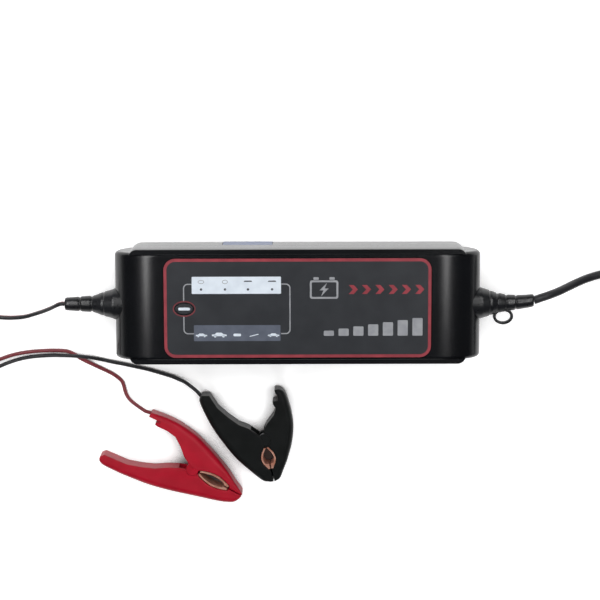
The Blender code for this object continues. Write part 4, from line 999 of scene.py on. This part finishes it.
def hanging_loop():
    """The flat oval ring beside the mains boot."""
    x, y, half_x, half_y = HANG_LOOP
    rings = []
    for i in range(HANG_LOOP_STEPS + 1):
        angle = 2 * math.pi * i / HANG_LOOP_STEPS
        middle = Vector((x + (half_x - HANG_LOOP_BAR / 2) * math.cos(angle),
                         y + (half_y - HANG_LOOP_BAR / 2) * math.sin(angle), PARTING))
        out = Vector((math.cos(angle), math.sin(angle), 0.0))
        section = round_rectangle((0, 0), (HANG_LOOP_BAR, HANG_LOOP_THICK), 0.4 * HANG_LOOP_BAR, 4)
        rings.append([middle + out * a + Vector((0, 0, b)) for a, b in section])
    return wrapped(rings, caps=False)


def bent(obj):
    """The mains boot with its far end drawn towards +Y by the lead."""
    for vert in obj.data.vertices:
        part = max(0.0, vert.co.x - MAINS_BEND) / (MAINS_TIP - MAINS_BEND)
        vert.co.y += MAINS_RISE * part * part
    return obj


output_boot = finished(boot(OUTPUT_BOOT, math.pi), "output_boot", boot_pvc,
                       stands_for=["dc_strain_relief"], sharp=50.0)
mains_boot = finished(bent(shaped(boot(MAINS_BOOT, 0.0), hanging_loop(), "UNION")), "mains_boot",
                      boot_pvc, stands_for=["mains_strain_relief"], sharp=50.0)
print("boots:", len(output_boot.data.polygons), len(mains_boot.data.polygons), "faces")

# %% [markdown]
# ## The clamps
#
# Each clamp is two hollow polypropylene arms round a hidden pin and spring. An arm is a channel: its
# back is rounded, its sides are flat and it is open towards the other arm. In front of the pin a
# lens-shaped window is lined with two toothed copper jaws. An arm is skinned over rings that run from
# its nose to its handle, then its inside is cut out.

# %% clamp sizes, in the clamp's own frame with the pin at the origin and the nose at +X
MM = 0.001
CLAMP_WALL = 0.0016
PIN_RADIUS = 0.0013
LUG_RADIUS = 0.0034
LUG_THICK = 0.0014
LUG_RECESS = 0.0002
JAW_THICK = 1.0
ARM_ROUND = 3.6
ARM_EDGE = 0.6
RINGS = 110
RED_ARMS = dict(
    plain=dict(
        back=[(30.4, -2.0), (28.9, -5.3), (25.1, -7.8), (15.9, -10.9), (5.1, -14.1), (-5.0, -17.0),
              (-17.0, -19.7), (-28.8, -21.1), (-38.5, -21.7), (-44.3, -21.7), (-46.8, -20.6),
              (-47.7, -18.8)],
        inner=[(-6.5, -2.7), (-12.5, -5.7), (-18.8, -9.7), (-25.6, -12.5), (-32.8, -14.8),
               (-42.4, -15.6), (-46.2, -15.9), (-47.7, -17.8)],
        notch=None),
    forked=dict(
        back=[(30.6, 0.9), (28.2, 2.3), (24.3, 4.3), (18.1, 7.8), (10.3, 11.3), (1.9, 14.5),
              (-7.2, 17.3), (-17.1, 18.6), (-24.5, 18.5), (-30.0, 17.8), (-34.4, 17.0)],
        inner=[(-7.4, 4.0), (-11.5, 7.8), (-16.7, 11.4), (-22.2, 12.2), (-27.9, 11.9),
               (-31.5, 12.3), (-34.8, 13.4)],
        notch=[(-38.0, 14.6), (-34.7, 14.6), (-29.6, 14.9), (-27.4, 15.0), (-29.9, 13.2),
               (-29.6, 12.1), (-29.6, 9.0), (-38.0, 9.0)]))
BLACK_ARMS = dict(
    plain=dict(
        back=[(23.2, -2.6), (21.8, -6.4), (14.8, -12.0), (6.5, -17.7), (-3.1, -22.3), (-12.4, -26.0),
              (-21.4, -28.4), (-27.8, -29.5), (-30.3, -29.2), (-31.9, -27.6)],
        inner=[(-4.5, -3.2), (-8.4, -6.8), (-11.5, -11.4), (-16.9, -16.1), (-23.3, -20.7),
               (-28.4, -22.5), (-31.0, -23.4)],
        notch=None),
    forked=dict(
        back=[(23.4, 1.2), (22.6, 3.6), (18.4, 6.7), (12.9, 10.3), (5.4, 14.3), (-3.2, 17.2),
              (-11.5, 18.0), (-18.5, 17.7), (-23.2, 16.9), (-25.6, 14.8), (-26.1, 12.8)],
        inner=[(-5.1, 0.9), (-8.3, 3.2), (-12.5, 8.3), (-15.9, 10.2), (-18.2, 9.3), (-20.4, 9.5),
               (-25.9, 11.6)],
        notch=[(-24.3, 11.9), (-22.2, 13.0), (-20.1, 12.5), (-20.0, 9.5), (-20.0, 6.0),
               (-28.0, 6.0), (-28.0, 11.9)]))
RED_WINDOW = (2.0, 4.4, 22.0)     # half width, start and end of the opening between the jaws
BLACK_WINDOW = (2.7, 4.4, 16.2)
SPRING_ROOM = (-5.5, 3.6)         # the channel is open towards the other arm between these
SPRING_PAST = 2.0                 # the spring's room is cut this far past the middle line
SPRING_WALL = 2.0
SOLID_END = 8.0                   # the handle's last stretch has no channel
NIP = 0.25                        # half the gap between the closed noses
JAW_GAP = 0.3                     # between a copper jaw and the arm behind it
PIN_LINE = 0.6                    # how near an arm's inner line comes to the middle at the pin
SEAM = 0.00015                    # between a lug and the arm round it
CUT_Z = (-0.001, 0.014)           # past both sides of a clamp
BORE_FLOOR = 0.0006               # the plastic over each end of the pin
# A nested lug has a web to its arm, and a step from that web out to the side wall.
WEB_HALF, WEB_Y, WEB_INSET = 0.0030, (0.0025, 0.0066), 0.0001
STEP_HALF, STEP_Y, STEP_HIGH = 0.0028, (0.0046, 0.0064), 0.0016


def jaw_line(window, side, extra, stop=None, points=16):
    """The hollow line of a jaw from its start to its tip, extra outside the copper's face."""
    half_gap, start, end = window
    stop = stop or end
    line = []
    for i in range(points):
        x = start + (stop - start) * i / (points - 1)
        bow = math.sin(math.pi * (x - start) / (end - start))
        line.append((x, side * (NIP + half_gap * bow + extra)))
    return line


def arm_ring(inner, outer):
    """One section of an arm between its inner and its outer line."""
    across = outer - inner
    width = across.length
    across.normalize()
    thick = CLAMP_THICK / MM
    big = min(ARM_ROUND, 0.42 * width)
    small = min(ARM_EDGE, 0.2 * width)
    ring = (arc((width - big, big), big, 270, 360, 8) + arc((width - big, thick - big), big, 0, 90, 8)
            + arc((small, thick - small), small, 90, 180, 4) + arc((small, small), small, 180, 270, 4))
    return [(inner + across * s + Vector((0, 0, z))) * MM for s, z in ring]


def arm_skin(arm, side, nose, window):
    """The outside of one arm, from its nose along both lines to its handle's end."""
    start, stop = window[1:]
    gap = JAW_THICK + JAW_GAP
    tip = [(nose, side * NIP), (stop + 0.5, side * NIP), (stop + 0.4, side * (NIP + gap))]
    hollow = jaw_line(window, side, gap)[::-1]
    inner = tip + hollow + [(start - 1.0, side * PIN_LINE), (-1.0, side * PIN_LINE)] + arm["inner"]
    outer = smooth([(*p, 0.0) for p in arm["back"]], RINGS)
    inner = spaced([(*p, 0.0) for p in inner], RINGS)
    return wrapped([arm_ring(a, b) for a, b in zip(inner, outer)])


def arm_channel(arm, side):
    """The room inside an arm, a wall's thickness from both its lines, and open at the spring."""
    back = smooth([(*p, 0.0) for p in arm["back"]], 60)
    inner = smooth([(*p, 0.0) for p in arm["inner"]], 40)
    wall = side * CLAMP_WALL / MM
    last = back[-1].x + SOLID_END
    first, front = SPRING_ROOM
    deep = [(p.x, p.y - wall) for p in back if last < p.x < front]
    shallow = [(p.x, p.y + wall) for p in reversed(inner) if last < p.x < first - SPRING_WALL]
    past = -side * SPRING_PAST
    room = [(front, deep[0][1])] + deep + shallow + [(first, past), (front, past)]
    return prism([[(x * MM, y * MM) for x, y in room]], CLAMP_WALL, CLAMP_THICK - CLAMP_WALL)


# %% arms
def add_lugs(body, side, outer_lugs):
    """Round lugs about the pin: in line with the side walls, or nested inside them."""
    middle = (0.0, 0.0)
    low = LUG_RECESS if outer_lugs else CLAMP_WALL + CLEAR
    if not outer_lugs:
        shaped(body, rod(middle, LUG_RADIUS + SEAM, *CUT_Z))
    for bottom, way in ((low, -1), (CLAMP_THICK - low - LUG_THICK, 1)):
        shaped(body, rod(middle, LUG_RADIUS, bottom, bottom + LUG_THICK), "UNION")
        if outer_lugs:
            continue
        near, far = sorted(side * y for y in WEB_Y)
        shaped(body, block((-WEB_HALF, near, bottom + WEB_INSET),
                           (WEB_HALF, far, bottom + LUG_THICK - WEB_INSET)), "UNION")
        near, far = sorted(side * y for y in STEP_Y)
        under, over = sorted((bottom + LUG_THICK / 2, bottom + LUG_THICK / 2 + way * STEP_HIGH))
        shaped(body, block((-STEP_HALF, near, under), (STEP_HALF, far, over)), "UNION")


def clamp_arm(name, arm, side, nose, window, outer_lugs, finish):
    """One arm: skin, channel, lugs and the bore for the pin."""
    material, slot, place, body_name, node = finish
    body = solid(arm_skin(arm, side, nose, window))
    shaped(body, arm_channel(arm, side))
    if arm["notch"]:
        shaped(body, prism([[(x * MM, y * MM) for x, y in arm["notch"]]], *CUT_Z))
    add_lugs(body, side, outer_lugs)
    low = LUG_RECESS + BORE_FLOOR if outer_lugs else CUT_Z[0]
    shaped(body, rod((0, 0), PIN_RADIUS + CLEAR, low, CLAMP_THICK - low, 32))
    body.data.transform(place)
    return finished(body, name, material, body_name, [node], sharp=38.0)


# %% jaws, pins and springs
TEETH = 5
TOOTH_PITCH = 0.6
TOOTH_ROOT, ROOT_STEP = 0.9, 0.12             # a notch's root from the middle line, and nearer each time
JAW_INSET = 0.0006                            # a jaw's edges lie this far inside its arm's sides
JAW_RIM = dict(plain=0.0009, forked=0.0005)   # how far a jaw's upper edge is rolled over
PIN_INSET, PIN_CHAMFER = 0.0011, 0.0002
SPRING_GAP = 0.0006                           # between the pin and the spring round it
SPRING_WIRE = 0.0009
SPRING_RISE = 0.0014
SPRING_LEG_ANGLE = 60.0
SPRING_TURNS = 2 + SPRING_LEG_ANGLE / 180
SPRING_LEG = 0.0080
SPRING_STEPS = 36


def jaw(name, side, window, rim, place, body_name, node):
    """A copper strip along a jaw's hollow, with teeth towards its tip."""
    first_tooth = window[2] - TEETH * TOOTH_PITCH
    face = jaw_line(window, side, 0.0, first_tooth)
    teeth = []
    for i in range(TEETH):
        root = TOOTH_ROOT - ROOT_STEP * i
        teeth.append((first_tooth + TOOTH_PITCH * (i + 0.45), side * root))
        teeth.append((first_tooth + TOOTH_PITCH * (i + 1), side * NIP))
    back = jaw_line(window, side, JAW_THICK)
    outline = [(x * MM, y * MM) for x, y in face + teeth + back[::-1]]
    top = CLAMP_THICK - JAW_INSET
    hollow = [Vector((x * MM, y * MM, top)) for x, y in face[:-1]]

    def hollow_rim(e):
        """The upper edge along the hollow, which is rolled over and catches the light."""
        return all(min((v.co - point).length for point in hollow) < MERGE for v in e.verts)

    piece = solid(round_edges(prism([outline], JAW_INSET, top), rim, 4, hollow_rim))
    piece.data.transform(place)
    return finished(piece, name, copper, body_name, [node])


def spring(name, place, node):
    """The coil spring round the pin, with a leg along each handle."""
    radius = PIN_RADIUS + SPRING_GAP + SPRING_WIRE / 2
    low = (CLAMP_THICK - SPRING_RISE * SPRING_TURNS) / 2
    points = []
    for i in range(round(SPRING_TURNS * SPRING_STEPS) + 1):
        angle = math.radians(-SPRING_LEG_ANGLE) + 2 * math.pi * i / SPRING_STEPS
        height = low + SPRING_RISE * i / SPRING_STEPS
        points.append(Vector((radius * math.cos(angle), radius * math.sin(angle), height)))
    first = (points[0] - points[1]).normalized() * SPRING_LEG
    last = (points[-1] - points[-2]).normalized() * SPRING_LEG
    route = [place @ p for p in [points[0] + first, *points, points[-1] + last]]
    return cord(name, route, SPRING_WIRE, spring_steel, [node])


def pin(name, place, node):
    """The pivot pin, with small chamfers at its ends."""
    bar = rod((0, 0), PIN_RADIUS, PIN_INSET, CLAMP_THICK - PIN_INSET)
    piece = solid(round_edges(bar, PIN_CHAMFER, 2, any_edge))
    piece.data.transform(place)
    return finished(piece, name, zinc, "root", [node])


# %% both clamps
def clamp(colour, arms, cable_arm, nose, window, place, material):
    """All the pieces of one clamp; its free arm turns on the pin."""
    sides = dict(plain=-1, forked=1)
    free_arm = "plain" if cable_arm == "forked" else "forked"
    made = []
    for role, shape, body in (("cable_arm", cable_arm, "root"),
                              ("free_arm", free_arm, f"{colour}_free_arm")):
        node = f"{colour}_clamp_{role}"
        finish = (material, f"clamp_{colour}", place, body, node)
        made.append(clamp_arm(f"{colour}_{role}_moulding", arms[shape], sides[shape], nose, window,
                              role == "cable_arm", finish))
        made.append(jaw(f"{colour}_{role}_copper", sides[shape], window, JAW_RIM[shape], place, body,
                        f"{node}_jaw"))
    made.append(pin(f"{colour}_pivot_pin", place, f"{colour}_clamp_pin"))
    made.append(spring(f"{colour}_clamp_coil_spring", place, f"{colour}_clamp_spring"))
    return made


red_clamp = clamp("red", RED_ARMS, "forked", 30.6, RED_WINDOW, RED_PLACE, red_pp)
black_clamp = clamp("black", BLACK_ARMS, "plain", 23.4, BLACK_WINDOW, BLACK_PLACE, black_pp)
print("clamps:", [len(p.data.polygons) for p in red_clamp + black_clamp if p.type == "MESH"])

# %% [markdown]
# ## The plug and the ties
#
# The mains lead ends in a flat two-pin plug. Its body swells from a neck on the cord to a waist that
# a thumb and a finger hold. The coils are held by soft hook-and-loop bands.

# %% plug
PLUG_LONG = 0.0370
PLUG_PIN_STEP = 0.0093
GROOVE_DEEP, GROOVE_RATE, GROOVE_END = 0.35, 2.2, 9.0     # mm, radians a mm, mm from the neck's end
NECK_END = 12                                             # mm; up to here the section is round
NECK_ROUND, BODY_ROUND = 0.98, 0.55
PLUG_WIDTHS = [(0.0, 3.6), (4.0, 3.7), (10.0, 4.4), (17.0, 9.0), (23.5, 16.0), (33.0, 17.5),
               (36.0, 17.4), (37.0, 16.6)]
PLUG_DEPTHS = [(0.0, 3.6), (4.0, 3.7), (10.0, 4.4), (17.0, 6.4), (23.5, 6.8), (33.0, 6.8),
               (36.0, 6.7), (37.0, 6.0)]
PLUG_RINGS = 60


def between(table, at):
    """The value of a table of (place, value) pairs at a place, on a smooth curve."""
    for (a, low), (b, high) in zip(table, table[1:]):
        if at <= b:
            part = (at - a) / (b - a)
            part = part * part * (3 - 2 * part)
            return low + (high - low) * part
    return table[-1][1]


def plug_body(end):
    """The moulded body, wrapped over rings along the cord's direction."""
    rings = []
    for i in range(PLUG_RINGS + 1):
        at = PLUG_LONG / MM * i / PLUG_RINGS
        groove = GROOVE_DEEP * max(0.0, math.sin(at * GROOVE_RATE)) ** 4 if at < GROOVE_END else 0.0
        wide = between(PLUG_WIDTHS, at) - groove
        deep = between(PLUG_DEPTHS, at) - groove
        roundness = NECK_ROUND if at < NECK_END else BODY_ROUND
        ring = round_rectangle((0, 0), (2 * wide * MM, 2 * deep * MM), min(wide, deep) * roundness * MM, 10)
        y = end.y - CLEAR - at * MM
        rings.append([Vector((end.x + a, y, end.z + b)) for a, b in ring])
    return finished(solid(wrapped(rings)), "plug_moulding", boot_pvc,
                    stands_for=["plug_body"])


def plug_pins(end):
    """Two round pins, sleeved near the body and rounded at the tip."""
    made = []
    top = end.y - CLEAR - PLUG_LONG - CLEAR
    for i, side in enumerate((-1, 1), 1):
        place = (Matrix.Translation((end.x + side * PLUG_PIN_STEP, top, end.z))
                 @ Matrix.Rotation(-math.pi / 2, 4, "Z"))
        metal = spun([(0.0095, 0.0020), (0.0168, 0.0020), (0.0180, 0.0017), (0.0187, 0.0011),
                      (0.0190, 0.0004)], 40)
        jacket = spun([(0.0000, 0.0019), (0.0094, 0.0019)], 40)
        for bm, name, material, slot, nodes_for in (
                (metal, f"plug_pin_metal_{i}", nickel, "steel", [f"plug_pin_{i}"]),
                (jacket, f"plug_pin_sleeve_{i}", boot_pvc, "boot_black", [])):
            bmesh.ops.transform(bm, verts=bm.verts, matrix=place)
            made.append(finished(solid(bm), name, material, stands_for=nodes_for))
    return made


plug_pieces = [plug_body(MAINS_END), *plug_pins(MAINS_END)]

# %% hook-and-loop material
# Nylon hook-and-loop tape is dull and fuzzy; the loops are 0.4 mm apart, drawn at 0.8 mm to show.
TAPE_LOOP = 0.0008


def tape_material():
    """Black nylon tape with rows of tiny loops and a soft sheen."""
    made, tree, shader = new_material("black_nylon_tape")
    spot = add(tree, "TexCoord")
    loops = add(tree, "TexVoronoi", {"Vector": (spot, "Object"), "Scale": 1 / TAPE_LOOP})
    shade = add(tree, "Mix", {0: (loops, 0), 6: linear("2A2A2C"), 7: linear("151517")},
                data_type="RGBA")
    relief = add(tree, "Bump", {"Height": (loops, 0), "Strength": 0.7, "Distance": 0.0002})
    feed(tree, shader, {"Base Color": (shade, 2), "Normal": (relief, 0), "Roughness": 0.85,
                        "Sheen Weight": 0.25})
    return made


tape = tape_material()
TIE_THICK = 0.0007
TIE_LOW = 0.0001
TIE_CORNERS = (0.0012, 0.0006)    # of the band's outside and of its inside
TIE_EDGE = 0.0002
CAD_LOOP_POINTS = 24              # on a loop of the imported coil, whose chords cut inside its circle


def tie(name, coil_setting, angle, width, top, node):
    """A flat band round one side of a coil."""
    wire = coil_setting["pitch"] - COIL_GAP
    inner = (coil_setting["outer"] - coil_setting["pitch"] * coil_setting["turns"]
             / coil_setting["layers"] - wire / 2)
    inner -= width * width / (8 * inner) + inner * (1 - math.cos(math.pi / CAD_LOOP_POINTS))
    outer = coil_setting["outer"] + wire / 2
    half = (outer - inner) / 2 + CLEAR + TIE_THICK
    centre = ((outer + inner) / 2, (TIE_LOW + top) / 2)
    ring = [round_rectangle(centre, (2 * (half - wall), top - TIE_LOW - 2 * wall), corner, 6)
            for wall, corner in zip((0.0, TIE_THICK), TIE_CORNERS)]
    bm = round_edges(upright(prism(ring, -width / 2, width / 2)), TIE_EDGE, 2, any_edge)
    x, y = coil_setting["centre"]
    bmesh.ops.transform(bm, verts=bm.verts, matrix=Matrix.Translation((x, y, 0.0))
                        @ Matrix.Rotation(math.radians(angle), 4, "Z"))
    return finished(solid(bm), name, tape, stands_for=[node])


mains_top = MAINS_COIL["base"] + 3 * MAINS_COIL["rise"] + MAINS_CORD / 2 + 2 * CLEAR + TIE_THICK
output_top = OUTPUT_COIL["base"] + 3 * PAIR_STEP + WIRE / 2 + 2 * CLEAR + TIE_THICK
mains_band = tie("mains_band", MAINS_COIL, 225, 0.0100, mains_top, "mains_tie")
output_band = tie("output_band", OUTPUT_COIL, 200, 0.0080, output_top, "output_tie")
print("plug and ties done")

# %% [markdown]
# ## What the case holds
#
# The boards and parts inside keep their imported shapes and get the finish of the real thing: green
# solder mask with copper tracks showing through, wound tape on the transformer, sleeved capacitors.

# %% boards and windings
TRACK = 0.0024
TAPE_TURN = 0.0011


def board_material():
    """Green solder mask over copper tracks: the tracks stand up slightly and look paler."""
    made, tree, shader = new_material("green_solder_mask")
    spot = add(tree, "TexCoord")
    tracks = add(tree, "TexBrick", {"Vector": (spot, "Object"), "Scale": 1 / (4 * TRACK),
                                    "Mortar Size": 0.12, "Color1": linear("1E6B35"),
                                    "Color2": linear("237239"), "Mortar": linear("3A8A4E")})
    relief = add(tree, "Bump", {"Height": (tracks, "Fac"), "Strength": 0.5, "Distance": 0.00004})
    feed(tree, shader, {"Base Color": (tracks, "Color"), "Normal": (relief, 0), "Roughness": 0.33})
    return made


def winding_material():
    """Amber tape wound on the transformer, each turn a fine ridge."""
    made, tree, shader = new_material("amber_winding_tape")
    spot = add(tree, "TexCoord")
    turns = add(tree, "TexWave", {"Vector": (spot, "Object"), "Scale": 0.31 / TAPE_TURN,
                                  "Distortion": 1.0}, bands_direction="Z")
    shade = add(tree, "Mix", {0: (turns, 1), 6: linear("B98A2E"), 7: linear("D9A845")},
                data_type="RGBA")
    relief = add(tree, "Bump", {"Height": (turns, 1), "Strength": 0.5, "Distance": 0.00005})
    feed(tree, shader, {"Base Color": (shade, 2), "Normal": (relief, 0), "Roughness": 0.40})
    return made


board = board_material()
winding = winding_material()

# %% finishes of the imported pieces
FINISHES = {
    sticker_paper: ["side_sticker"],
    board: ["main_board", "indicator_board"],
    winding: ["transformer_winding", "mains_choke", "filter_capacitor"],
    ferrite: ["transformer_core"],
    sleeve: ["input_capacitor", "output_capacitor_1", "output_capacitor_2"],
    epoxy: ["bridge_rectifier", "power_transistor", "output_rectifier", "optocoupler",
            "controller_chip", "switch_body", "switch_plunger"],
    aluminium: ["heatsink"],
    clear_epoxy: ["mains_fuse", "light_bar", *[f"led_{i}" for i in range(1, 5)]],
    zinc: [f"case_screw_{i}" for i in range(1, 5)],
}
for material, names in FINISHES.items():
    for name in names:
        nodes[name].data.materials.clear()
        nodes[name].data.materials.append(material)
print("finished", sum(len(names) for names in FINISHES.values()), "packed pieces")
